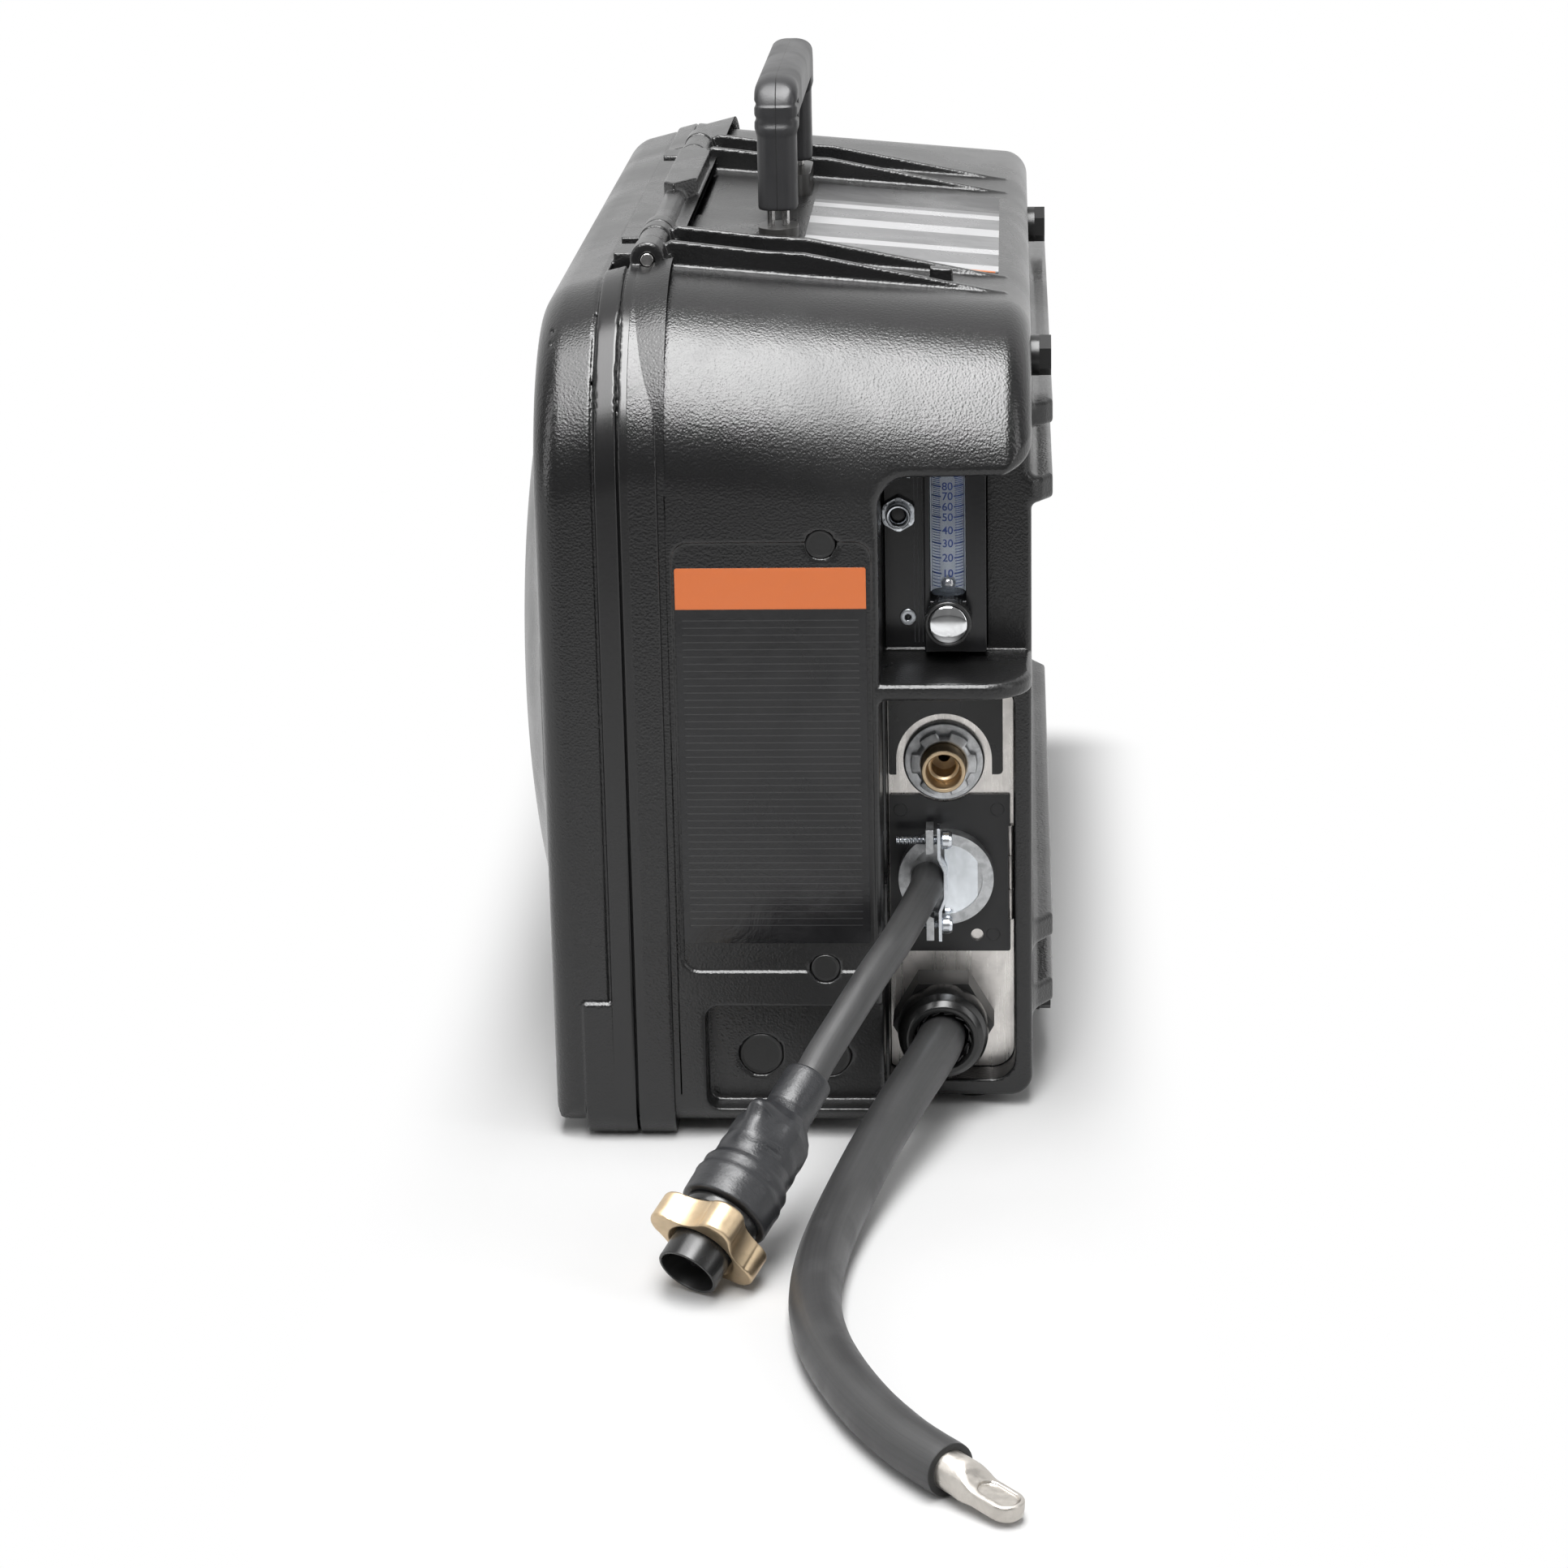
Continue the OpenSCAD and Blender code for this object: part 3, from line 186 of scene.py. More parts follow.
class Clay:
    """A solid held as a distance on a grid of uneven lines; zero is its surface."""

    def __init__(self, xs, ys, zs):
        self.grid = (xs, ys, zs)
        self.field = np.full((len(xs), len(ys), len(zs)), 99.0, np.float32)

    def near(self, low, high, grow):
        """The part of the grid round a box, as slices and as its three lines of places."""
        cut = tuple(
            slice(max(int(np.searchsorted(g, a - grow)) - 1, 0), int(np.searchsorted(g, b + grow)) + 1)
            for g, a, b in zip(self.grid, low, high)
        )
        x, y, z = (g[c] for g, c in zip(self.grid, cut))
        return cut, x[:, None, None], y[None, :, None], z[None, None, :]

    def add(self, low, high, shape, r=0.0, grow=6):
        """Adds shape(x, y, z) with a fillet of radius r."""
        cut, x, y, z = self.near(low, high, grow)
        here, other = self.field[cut], shape(x, y, z)
        self.field[cut] = round_or(here, other, r) if r else np.minimum(here, other)

    def cut(self, low, high, shape, r=0.0, grow=6):
        """Takes shape(x, y, z) away, with its rim rounded by r, which may be a function of place."""
        part, x, y, z = self.near(low, high, grow)
        here, other = self.field[part], -shape(x, y, z)
        r = r(x, y, z) if callable(r) else r
        self.field[part] = np.maximum(here, other) if np.isscalar(r) and r == 0 else round_and(here, other, r)

    def surface(self):
        """One vertex in each cell that the surface passes, at the mean of its edge crossings, and one
        four-sided face across each grid edge that changes sign."""
        f, grid = self.field, self.grid
        inside = f < 0
        shape = np.array(f.shape) - 1
        stride = np.array([shape[1] * shape[2], shape[2], 1])
        cells, spots, faces = [], [], []
        for axis in range(3):
            low, high = [slice(None)] * 3, [slice(None)] * 3
            low[axis], high[axis] = slice(0, -1), slice(1, None)
            low, high = tuple(low), tuple(high)
            at = np.array(np.nonzero(inside[low] != inside[high]))
            end = at.copy()
            end[axis] += 1
            a, b = f[tuple(at)], f[tuple(end)]
            t = (a / (a - b)).astype(float)
            spot = np.array([grid[k][at[k]] for k in range(3)], float)
            spot[axis] += t * (grid[axis][end[axis]] - grid[axis][at[axis]])
            up, side = (axis + 1) % 3, (axis + 2) % 3
            home = (at * stride[:, None]).sum(0)
            quad = np.stack([
                home, home - stride[up], home - stride[up] - stride[side], home - stride[side],
            ], 1)
            quad[b < 0] = quad[b < 0][:, ::-1]
            faces.append(quad)
            cells.append(quad.ravel())
            spots.append(np.repeat(spot.T, 4, 0))
        cells, spots, faces = np.concatenate(cells), np.concatenate(spots), np.concatenate(faces)
        used, order = np.unique(cells, return_inverse=True)
        order = order.ravel()
        count = np.bincount(order)
        verts = np.stack([np.bincount(order, weights=spots[:, k]) / count for k in range(3)], 1)
        return verts, np.searchsorted(used, faces)


def soft_corners(points, radius, steps=4, closed=False):
    """A polyline whose corners become arcs that touch both sides; a side is used up to its middle."""
    p = np.asarray(points, float)
    out = []
    for i in range(len(p)):
        if not closed and i in (0, len(p) - 1):
            out.append(p[i])
            continue
        a, b, c = p[i - 1], p[i], p[(i + 1) % len(p)]
        la, lc = np.linalg.norm(a - b), np.linalg.norm(c - b)
        if min(la, lc) < 1e-6:
            out.append(b)
            continue
        ua, uc = (a - b) / la, (c - b) / lc
        half = math.acos(max(-1, min(1, float(ua @ uc)))) / 2
        reach = min(radius / max(math.tan(half), 1e-3), la * 0.48, lc * 0.48)
        if abs(half - math.pi / 2) < 0.05 or reach < 1e-3:
            out.append(b)
            continue
        t = np.linspace(0, 1, steps + 1)[:, None]
        start, end = b + ua * reach, b + uc * reach
        w = math.sin(half)
        first, middle, last = (1 - t) ** 2, 2 * t * (1 - t) * w, t**2
        out.extend((first * start + middle * b + last * end) / (first + middle + last))
    return np.array(out)


def fine_profile(points, step, closed=True):
    """The same outline with a point at least every step."""
    out = []
    ends = np.vstack([points[1:], points[:1]]) if closed else points[1:]
    for a, b in zip(points, ends):
        n = max(int(np.linalg.norm(b - a) / step), 1)
        out.extend(a + (b - a) * k / n for k in range(n))
    if not closed:
        out.append(points[-1])
    return np.array(out)


def ring_of(count):
    """The angles that cut a whole turn into equal parts."""
    return np.arange(count) * 2 * math.pi / count


def around(axis):
    """Two directions square to an axis, the first as level as can be."""
    a = unit(axis)
    side = unit(np.cross(a, (0, 0, 1))) if abs(a[2]) < 0.9 else np.array([1.0, 0, 0])
    side = unit(side - a * (side @ a))
    return side, np.cross(a, side)


def turned(origin, axis, profile, count=64, swell=None, closed=None):
    """Profile points (radius, distance along the axis) carried round the axis. swell(angle, radius, distance)
    gives the radius and distance for each angle, for shapes that aren't round."""
    p = np.asarray(profile, float)
    closed = p[0, 0] > 1e-6 if closed is None else closed
    side, other = around(axis)
    turn = ring_of(count)
    r, s = np.broadcast_to(p[:, :1], (len(p), count)), np.broadcast_to(p[:, 1:], (len(p), count))
    if swell:
        r, s = swell(turn[None, :], r, s)
    ring = np.cos(turn)[None, :, None] * side + np.sin(turn)[None, :, None] * other
    verts = np.asarray(origin, float) + r[..., None] * ring + s[..., None] * unit(axis)
    rows = len(p)
    i = np.arange(rows if closed else rows - 1)
    j = np.arange(count)
    a, b = np.meshgrid(i, j, indexing="ij")
    c, d = (a + 1) % rows, (b + 1) % count
    faces = np.stack([a * count + b, a * count + d, c * count + d, c * count + b], -1)
    return verts.reshape(-1, 3), faces.reshape(-1, 4)


def smooth_route(points, step):
    """A curve through the points in even steps: each stretch is a cubic with the slope of its neighbours' chord."""
    p = np.asarray(points, float)
    q = np.vstack([2 * p[0] - p[1], p, 2 * p[-1] - p[-2]])
    t = np.linspace(0, 1, 12, endpoint=False)[:, None]
    out = []
    for k in range(1, len(q) - 2):
        a, b, c, d = q[k - 1 : k + 3]
        square, cube = 2 * a - 5 * b + 4 * c - d, 3 * b - a - 3 * c + d
        out.append(0.5 * (2 * b + (c - a) * t + square * t**2 + cube * t**3))
    fine = np.vstack(out + [p[-1:]])
    run = np.concatenate([[0], np.cumsum(np.linalg.norm(np.diff(fine, axis=0), axis=1))])
    at = np.linspace(0, run[-1], max(int(run[-1] / step), 2) + 1)
    return np.stack([np.interp(at, run, fine[:, k]) for k in range(3)], 1)


def tube(route, radius, count=40, ends=0.6):
    """A round section of the given radius carried along the route, its rims rounded and both ends closed."""
    t = unit(np.gradient(route, axis=0))
    side = unit(np.cross(t, (0, 0, 1)))
    other = np.cross(side, t)
    turn = ring_of(count)
    head = [(0, 0, 0.0), (0, 0, radius - ends), (0, ends * 0.3, radius - ends * 0.3)]
    tail = [(-1, -ends * 0.3, radius - ends * 0.3), (-1, 0, radius - ends), (-1, 0, 0.0)]
    rows = head + [(k, 0, radius) for k in range(1, len(route) - 1)] + tail
    across, upward = np.cos(turn)[:, None], np.sin(turn)[:, None]
    verts = np.stack([route[k] + s * t[k] + r * (across * side[k] + upward * other[k]) for k, s, r in rows])
    n = len(rows)
    a, b = np.meshgrid(np.arange(n - 1), np.arange(count), indexing="ij")
    d = (b + 1) % count
    faces = np.stack([a * count + b, (a + 1) * count + b, (a + 1) * count + d, a * count + d], -1).reshape(-1, 4)
    return verts.reshape(-1, 3), faces, n


def joined(*parts):
    """Several surfaces in one piece."""
    verts, faces, base = [], [], 0
    for v, f in parts:
        verts.append(v)
        faces.append(np.asarray(f) + base)
        base += len(v)
    return np.vstack(verts), np.vstack(faces)


# ------------------------------------------------------------ mesh helpers


def new_mesh(name, verts, faces):
    mesh = bpy.data.meshes.new(name)
    mesh.from_pydata(seated(verts).tolist(), [], np.asarray(faces).tolist())
    return mesh


def finish_piece(name, mesh, finish, body="case", nodes=(), slot=None, sharp=None):
    """Makes a piece of a mesh in the frame: its finish by name, what it rides on and what it stands for."""
    piece = bpy.data.objects.new(name, mesh)
    bpy.context.scene.collection.objects.link(piece)
    mesh.shade_smooth()
    if sharp:
        mesh.set_sharp_from_angle(angle=math.radians(sharp))
    mesh.materials.clear()
    mesh.materials.append(FINISH[finish])
    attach(piece, body)
    if nodes:
        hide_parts(*nodes)
    return piece


def copied(shape):
    """What an object gives with its modifiers, as a mesh of its own; the object goes."""
    bpy.context.scene.collection.objects.link(shape)
    bpy.context.view_layer.update()
    mesh = bpy.data.meshes.new_from_object(shape.evaluated_get(bpy.context.evaluated_depsgraph_get()))
    bpy.data.objects.remove(shape)
    return mesh


def piece(name, surface, finish, body="case", nodes=(), slot=None, sharp=38):
    """A numpy surface as a piece: doubles merged and faces turned outwards."""
    mesh = new_mesh(name, *surface)
    work = bmesh.new()
    work.from_mesh(mesh)
    bmesh.ops.remove_doubles(work, verts=work.verts, dist=MERGE)
    bmesh.ops.dissolve_degenerate(work, dist=1e-7, edges=work.edges)
    bmesh.ops.recalc_face_normals(work, faces=work.faces)
    work.to_mesh(mesh)
    work.free()
    return finish_piece(name, mesh, finish, body, nodes, slot, sharp)


def weighted(obj):
    """Shades the faces of a piece by their size, so that narrow rounds don't tilt broad faces."""
    modifier = obj.modifiers.new("Even shading", "WEIGHTED_NORMAL")
    modifier.keep_sharp = True
    modifier.weight = 60
    return obj


def moulded(name, clay, finish, most, body="case", nodes=()):
    """A Clay solid as a piece, thinned to at most that many triangles, flat places first; the strips beside the
    seam stay fine at the rear, because gloss shows every long triangle there."""
    verts, faces = clay.surface()
    verts[:, 1:] = np.clip(verts[:, 1:], 0.0, (LENGTH, FAR_ABOVE))
    mesh = new_mesh(name, verts, faces)
    rough = bpy.data.objects.new(name + "_grid", mesh)
    group = rough.vertex_groups.new(name="thinned")
    strip = (np.abs(verts[:, 0]) < STRIP_WIDE) & (verts[:, 1] < STRIP_DEEP)
    group.add(np.nonzero(~strip)[0].tolist(), 1.0, "REPLACE")
    thin = rough.modifiers.new("Thin", "DECIMATE")
    thin.vertex_group = group.name
    thin.ratio = min(1.0, most / (2 * len(faces)))
    lean = copied(rough)
    lean.name = name
    return weighted(finish_piece(name, lean, finish, body, nodes))


def softened(node, finish, width, segments, slot, angle=math.radians(32)):
    """A copy of a solid whose edges are broken by a small round, in millimetres."""
    source = frame["nodes"][node]
    work = bmesh.new()
    work.from_mesh(source.data)
    bmesh.ops.remove_doubles(work, verts=work.verts, dist=MERGE)
    bmesh.ops.dissolve_limit(work, angle_limit=FLAT, verts=work.verts, edges=work.edges)
    mesh = bpy.data.meshes.new(node)
    work.to_mesh(mesh)
    work.free()
    for layer in list(mesh.uv_layers):
        mesh.uv_layers.remove(layer)
    done = finish_piece(node + "_skin", mesh, finish, source["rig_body"], [node], slot)
    mesh.set_sharp_from_angle(angle=angle)
    edge = done.modifiers.new("Edges", "BEVEL")
    edge.width, edge.segments, edge.limit_method = width / 1000, segments, "ANGLE"
    edge.angle_limit = angle
    edge.harden_normals = False
    edge.use_clamp_overlap = True
    for e in mesh.edges:
        e.use_edge_sharp = False
    return weighted(done)


# -------------------------------------------------------------- finishes


def add_node(tree, kind, settings=None, **sockets):
    """A node with its settings. A name is a socket's name with _ for spaces, or i0, i1 for its number; what it
    is given is linked if it is a socket and set if it is a value."""
    node = tree.nodes.new(kind)
    for key, value in (settings or {}).items():
        setattr(node, key, value)
    for key, value in sockets.items():
        numbered = key[0] == "i" and key[1:].isdigit()
        socket = node.inputs[int(key[1:])] if numbered else node.inputs[key.replace("_", " ")]
        if isinstance(value, bpy.types.NodeSocket):
            tree.links.new(value, socket)
        else:
            socket.default_value = value
    return node


def maths(tree, operation, *values):
    """The result of one Math node."""
    sockets = {f"i{k}": v for k, v in enumerate(values)}
    return add_node(tree, "ShaderNodeMath", {"operation": operation}, **sockets).outputs[0]


def ramp(tree, value, low, high, to=(0.0, 1.0), smooth=True):
    """A value stretched from low..high to another range, with soft ends where it is smooth."""
    kind = {"interpolation_type": "SMOOTHSTEP" if smooth else "LINEAR"}
    return add_node(
        tree, "ShaderNodeMapRange", kind, Value=value, From_Min=low, From_Max=high, To_Min=to[0], To_Max=to[1],
    ).outputs[0]


def effect(name, output, place=True, **values):
    """An empty node group: an input for the place where one is used, an input for each value, and one output."""
    group = bpy.data.node_groups.new(name, "ShaderNodeTree")
    if place:
        group.interface.new_socket("Vector", in_out="INPUT", socket_type="NodeSocketVector")
    for label, value in values.items():
        group.interface.new_socket(label, in_out="INPUT", socket_type="NodeSocketFloat").default_value = value
    group.interface.new_socket(output, in_out="OUTPUT", socket_type="NodeSocketFloat")
    return group, group.nodes.new("NodeGroupInput").outputs, group.nodes.new("NodeGroupOutput").inputs[output]


def make_effects():
    """Grain, smudges, brush lines and bands, each used by several finishes."""
    tree, given, out = effect("Moulded Grain", "Height", Pitch=900.0, Amount=1.0)
    spot = {"Vector": given["Vector"], "Scale": given["Pitch"]}
    cells = add_node(tree, "ShaderNodeTexVoronoi", {"feature": "SMOOTH_F1"}, **spot, Smoothness=0.7)
    fine = add_node(tree, "ShaderNodeTexNoise", **spot, Detail=3.0, Roughness=0.6)
    coarse = maths(tree, "MULTIPLY", cells.outputs["Distance"], 0.8)
    both = maths(tree, "ADD", coarse, maths(tree, "MULTIPLY", fine.outputs[0], 0.7))
    tree.links.new(maths(tree, "MULTIPLY", both, given["Amount"]), out)

    tree, given, out = effect("Handling Smudges", "Value", Scale=12.0, Low=0.0, High=1.0)
    spot = {"Vector": given["Vector"], "Scale": given["Scale"]}
    cloud = add_node(tree, "ShaderNodeTexNoise", **spot, Detail=5.0, Roughness=0.62, Distortion=0.6)
    tree.links.new(ramp(tree, cloud.outputs[0], 0.35, 0.68, (given["Low"], given["High"])), out)

    tree, given, out = effect("Brush Lines", "Value", Scale=60.0, Low=0.0, High=1.0)
    spot = {"Vector": given["Vector"], "Scale": given["Scale"]}
    hair = add_node(tree, "ShaderNodeTexNoise", **spot, Detail=6.0, Roughness=0.7)
    tree.links.new(ramp(tree, hair.outputs[0], 0.3, 0.7, (given["Low"], given["High"]), False), out)

    tree, given, out = effect("Band", "Mask", False, Value=0.0, Low=0.0, High=1.0, Edge=0.0002)
    sides = []
    for end in ("Low", "High"):
        before = maths(tree, "SUBTRACT", given[end], given["Edge"])
        sides.append(ramp(tree, given["Value"], before, maths(tree, "ADD", given[end], given["Edge"])))
    tree.links.new(maths(tree, "SUBTRACT", *sides), out)


class Finish:
    """One material in the making: its tree, its shader and the places on the piece."""

    def __init__(self, name, colour, rough, metal=0.0, attribute=None, stretch=None, **sockets):
        self.material = bpy.data.materials.new(name)
        self.material.use_nodes = True
        self.material.diffuse_color = (*colour, 1)
        self.tree = tree = self.material.node_tree
        self.shader = tree.nodes["Principled BSDF"]
        self.set("Base Color", (*colour, 1))
        self.set("Roughness", rough)
        self.set("Metallic", metal)
        for key, value in sockets.items():
            self.set(key.replace("_", " "), value)
        if attribute:
            self.place = add_node(tree, "ShaderNodeAttribute", {"attribute_name": attribute}).outputs["Vector"]
        else:
            self.place = add_node(tree, "ShaderNodeTexCoord").outputs["Object"]
        self.plain = self.place
        if stretch:
            self.place = add_node(tree, "ShaderNodeMapping", Vector=self.place, Scale=stretch).outputs[0]
        self.axes = None

    def set(self, socket, value):
        self.shader.inputs[socket].default_value = value

    def feed(self, value, socket):
        self.tree.links.new(value, self.shader.inputs[socket])

    def along(self, axis):
        """The plain place along x, y or z."""
        if self.axes is None:
            self.axes = add_node(self.tree, "ShaderNodeSeparateXYZ", Vector=self.plain).outputs
        return self.axes[axis]

    def maths(self, operation, *values):
        return maths(self.tree, operation, *values)

    def effect(self, name, **sockets):
        """One of the shared node groups; where it takes a place, it gets the stretched one unless told."""
        group = bpy.data.node_groups[name]
        if "Vector" in [s.name for s in group.interface.items_tree]:
            sockets.setdefault("Vector", self.place)
        return add_node(self.tree, "ShaderNodeGroup", {"node_tree": group}, **sockets).outputs[0]

    def band(self, axis, low, high, edge=0.0002):
        """1 between two places along an axis, 0 beyond them."""
        return self.effect("Band", Value=self.along(axis), Low=low, High=high, Edge=edge)

    def smudged(self, scale, low, high, **sockets):
        """Roughness that wanders between two values, as on a handled face."""
        self.feed(self.effect("Handling Smudges", Scale=scale, Low=low, High=high, **sockets), "Roughness")

    def bump(self, height, distance):
        node = add_node(self.tree, "ShaderNodeBump", Strength=1.0, Distance=distance, Height=height)
        self.feed(node.outputs[0], "Normal")

    def mix(self, factor, a, b):
        """Colour a where the factor is 0 and colour b where it is 1."""
        node = add_node(self.tree, "ShaderNodeMix", {"data_type": "RGBA"})
        for k, v in ((0, factor), (6, a), (7, b)):
            if isinstance(v, bpy.types.NodeSocket):
                self.tree.links.new(v, node.inputs[k])
            else:
                node.inputs[k].default_value = (*v, 1) if k and len(v) == 3 else v
        return node.outputs[2]


def plastic(name, colour, rough, pitch=900.0, depth=0.00006, vary=0.05):
    """Moulded plastic or rubber: fine grain in the bump, smudges in the roughness."""
    f = Finish(name, colour, rough)
    f.smudged(14.0, max(rough - vary, 0.03), rough + vary)
    f.bump(f.effect("Moulded Grain", Pitch=pitch), depth)
    tone = f.effect("Handling Smudges", Scale=5.0)
    f.feed(f.mix(tone, colour, [c * 1.25 + 0.001 for c in colour]), "Base Color")
    return f.material


def metal(name, colour, rough, stretch, scale, depth=0.00002, vary=0.08):
    """Bare or plated metal: brush or turning lines along the short direction of the stretch, and dull patches."""
    f = Finish(name, colour, rough, 1.0, stretch=stretch)
    hair = f.effect("Brush Lines", Scale=scale, Low=max(rough - vary, 0.04), High=rough + vary)
    f.feed(hair, "Roughness")
    f.bump(f.effect("Brush Lines", Scale=scale), depth)
    patch = f.effect("Handling Smudges", Vector=f.plain, Scale=90.0)
    f.feed(f.mix(patch, colour, [c * 0.82 for c in colour]), "Base Color")
    return f.material


def cast_zinc():
    """Die-cast zinc: dull, mottled pale grey with fine pits."""
    f = Finish("cast_zinc", (0.56, 0.57, 0.58), 0.42, 1.0)
    patch = f.effect("Handling Smudges", Scale=220.0)
    f.feed(f.mix(patch, (0.62, 0.63, 0.64), (0.44, 0.45, 0.46)), "Base Color")
    f.smudged(120.0, 0.34, 0.52)
    f.bump(f.effect("Moulded Grain", Pitch=1800.0), 0.00006)
    return f.material


def case_plastic(settings):
    """Black moulding: leather grain everywhere but on the smooth strips beside the seam, and broad hand marks."""
    base, rough = tuple(settings.case_colour), settings.case_roughness
    f = Finish("case_black", base, rough)
    f.set("Specular IOR Level", 0.58)
    strip = f.maths("MULTIPLY", f.band(0, -0.0701, -0.0563), f.band(1, -0.285, -0.222, 0.006))
    open_face = f.maths("SUBTRACT", 1.0, strip)
    marks = f.effect("Handling Smudges", Scale=9.0, Low=rough - 0.04, High=rough + 0.06)
    smooth = f.maths("MULTIPLY", strip, 0.24)
    f.feed(f.maths("ADD", f.maths("MULTIPLY", marks, open_face), smooth), "Roughness")
    amount = f.maths("ADD", f.maths("MULTIPLY", open_face, 0.97), 0.03)
    f.bump(f.effect("Moulded Grain", Pitch=settings.grain_pitch, Amount=amount), 0.00013)
    cloud = f.effect("Handling Smudges", Scale=3.5)
    f.feed(f.mix(cloud, base, [c * 1.3 for c in base]), "Base Color")
    return f.material


def grip_rubber():
    """Grip: fine grain, and the thin dark parting line of its mould round the middle."""
    base = (0.024, 0.024, 0.026)
    f = Finish("grip_rubber", base, 0.42)
    seam = f.band(0, -0.00292, -0.00268, 0.00012)
    f.feed(f.mix(seam, base, (0.008, 0.008, 0.008)), "Base Color")
    f.smudged(18.0, 0.36, 0.5)
    grain = f.effect("Moulded Grain", Pitch=1300.0, Amount=0.3)
    f.bump(f.maths("SUBTRACT", grain, f.maths("MULTIPLY", seam, 2.0)), 0.0001)
    return f.material


def cable_rubber():
    """Dark jacket, paler than the case, with faint lines that run along it."""
    f = Finish("cable_rubber", (0.062, 0.062, 0.064), 0.5, attribute="along", stretch=(1, 1, 0.02))
    line = f.effect("Brush Lines", Scale=700.0)
    f.feed(f.mix(line, (0.04, 0.04, 0.041), (0.058, 0.058, 0.059)), "Base Color")
    f.smudged(25.0, 0.42, 0.6, Vector=f.plain)
    f.bump(f.maths("ADD", line, f.effect("Moulded Grain", Vector=f.plain, Pitch=1500.0, Amount=0.5)), 0.00003)
    return f.material


def boot_rubber():
    """Heat-shrunk sleeve: smoother and darker, with slight folds round it."""
    f = Finish("boot_rubber", (0.022, 0.023, 0.026), 0.4, attribute="along", stretch=(1, 1, 3.0))
    fold = f.effect("Brush Lines", Scale=55.0)
    f.smudged(60.0, 0.3, 0.48, Vector=f.plain)
    f.bump(f.maths("ADD", fold, f.effect("Moulded Grain", Vector=f.plain, Pitch=1400.0, Amount=0.25)), 0.00018)
    return f.material


def rear_label_film():
    """Black film with a plain orange head band and faint even ruling below it."""
    f = Finish("label_film", (0.009, 0.009, 0.01), 0.2)
    head = f.band(2, 0.2357, 0.2536, 0.00015)
    step = f.maths("MULTIPLY", f.along(2), 1 / 0.0031)
    rule = f.effect("Band", Value=f.maths("FRACT", step), Low=0.42, High=0.56, Edge=0.05)
    inside, below = f.band(0, -0.0358, 0.0372, 0.0001), f.band(2, 0.095, 0.2335, 0.0001)
    rule = f.maths("MULTIPLY", f.maths("MULTIPLY", rule, inside), f.maths("MULTIPLY", below, 0.5))
    paper = f.mix(rule, (0.009, 0.009, 0.01), (0.06, 0.06, 0.06))
    f.feed(f.mix(head, paper, (0.66, 0.17, 0.05)), "Base Color")
    f.smudged(20.0, 0.16, 0.3)
    f.bump(f.effect("Handling Smudges", Scale=45.0), 0.00006)
    return f.material


def roof_label():
    """Grey film with plain pale bands across it, a dark far end and one small orange patch at its near corner."""
    colour = (0.2, 0.2, 0.205)
    f = Finish("roof_film", colour, 0.32)
    for low, high in ((-0.1437, -0.1318), (-0.1041, -0.0926), (-0.0598, -0.0417), (-0.0153, -0.0045)):
        colour = f.mix(f.band(1, low, high), colour, (0.6, 0.6, 0.61))
    colour = f.mix(f.band(1, 0.004, 0.05), colour, (0.05, 0.05, 0.052))
    patch = f.maths("MULTIPLY", f.band(1, -0.16, -0.1437), f.band(0, 0.0675, 0.0935))
    f.feed(f.mix(patch, colour, (0.72, 0.2, 0.04)), "Base Color")
    f.smudged(25.0, 0.25, 0.4)
    return f.material


def tube_glass():
    """Clear tube: a thin see-through wall with a pale blue tint and sharp reflections."""
    f = Finish("tube_clear", (0.7, 0.8, 0.95), 0.06, Alpha=0.07)
    f.smudged(80.0, 0.03, 0.1)
    return f.material


BLACK = (0.02, 0.02, 0.02)
# Colour and roughness, then the pitch and depth of the grain and how far the roughness varies.
PLASTICS = {
    "seal_rubber": (BLACK, 0.7),
    "knob_black": ((0.02, 0.02, 0.021), 0.42),
    "foot_rubber": (BLACK, 0.75),
    "bolt_black": ((0.014,) * 3, 0.35, 900.0, 0.00002),
    "plug_black": ((0.012,) * 3, 0.34, 900.0, 0.00003),
    "socket_steel": ((0.03, 0.029, 0.027), 0.36, 900.0, 0.00003),
    "panel_gloss": ((0.008, 0.008, 0.009), 0.16, 500.0, 0.00001, 0.04),
    "knob_gloss": ((0.018,) * 3, 0.24, 900.0, 0.00001, 0.04),
    "film_black": ((0.01,) * 3, 0.3, 700.0, 0.00001),
    "plate_black": ((0.011, 0.011, 0.012), 0.36, 800.0, 0.00002),
    "gland_black": ((0.012,) * 3, 0.34, 900.0, 0.00002),
    "gland_gloss": ((0.009,) * 3, 0.2, 900.0, 0.00001),
    "shell_black": ((0.016,) * 3, 0.28, 900.0, 0.00001, 0.08),
    "insert_black": ((0.008,) * 3, 0.6),
    "motor_black": ((0.025,) * 3, 0.45),
    # The jacket's cut end: near black as painted shade, much darker than the jacket's own grey rubber.
    "shaded_end_rubber": ((0.01,) * 3, 0.6),
    "hose_black": ((0.014,) * 3, 0.5),
    "board_green": ((0.03, 0.13, 0.055), 0.35),
    "scale_blue": ((0.012, 0.035, 0.17), 0.4, 900.0, 0.000005),
    "scale_white": ((0.82, 0.87, 0.94), 0.4, 900.0, 0.000005),
    "panel_line": ((0.05, 0.05, 0.055), 0.3, 900.0, 0.000005),
}
EVEN = (1, 1, 1)
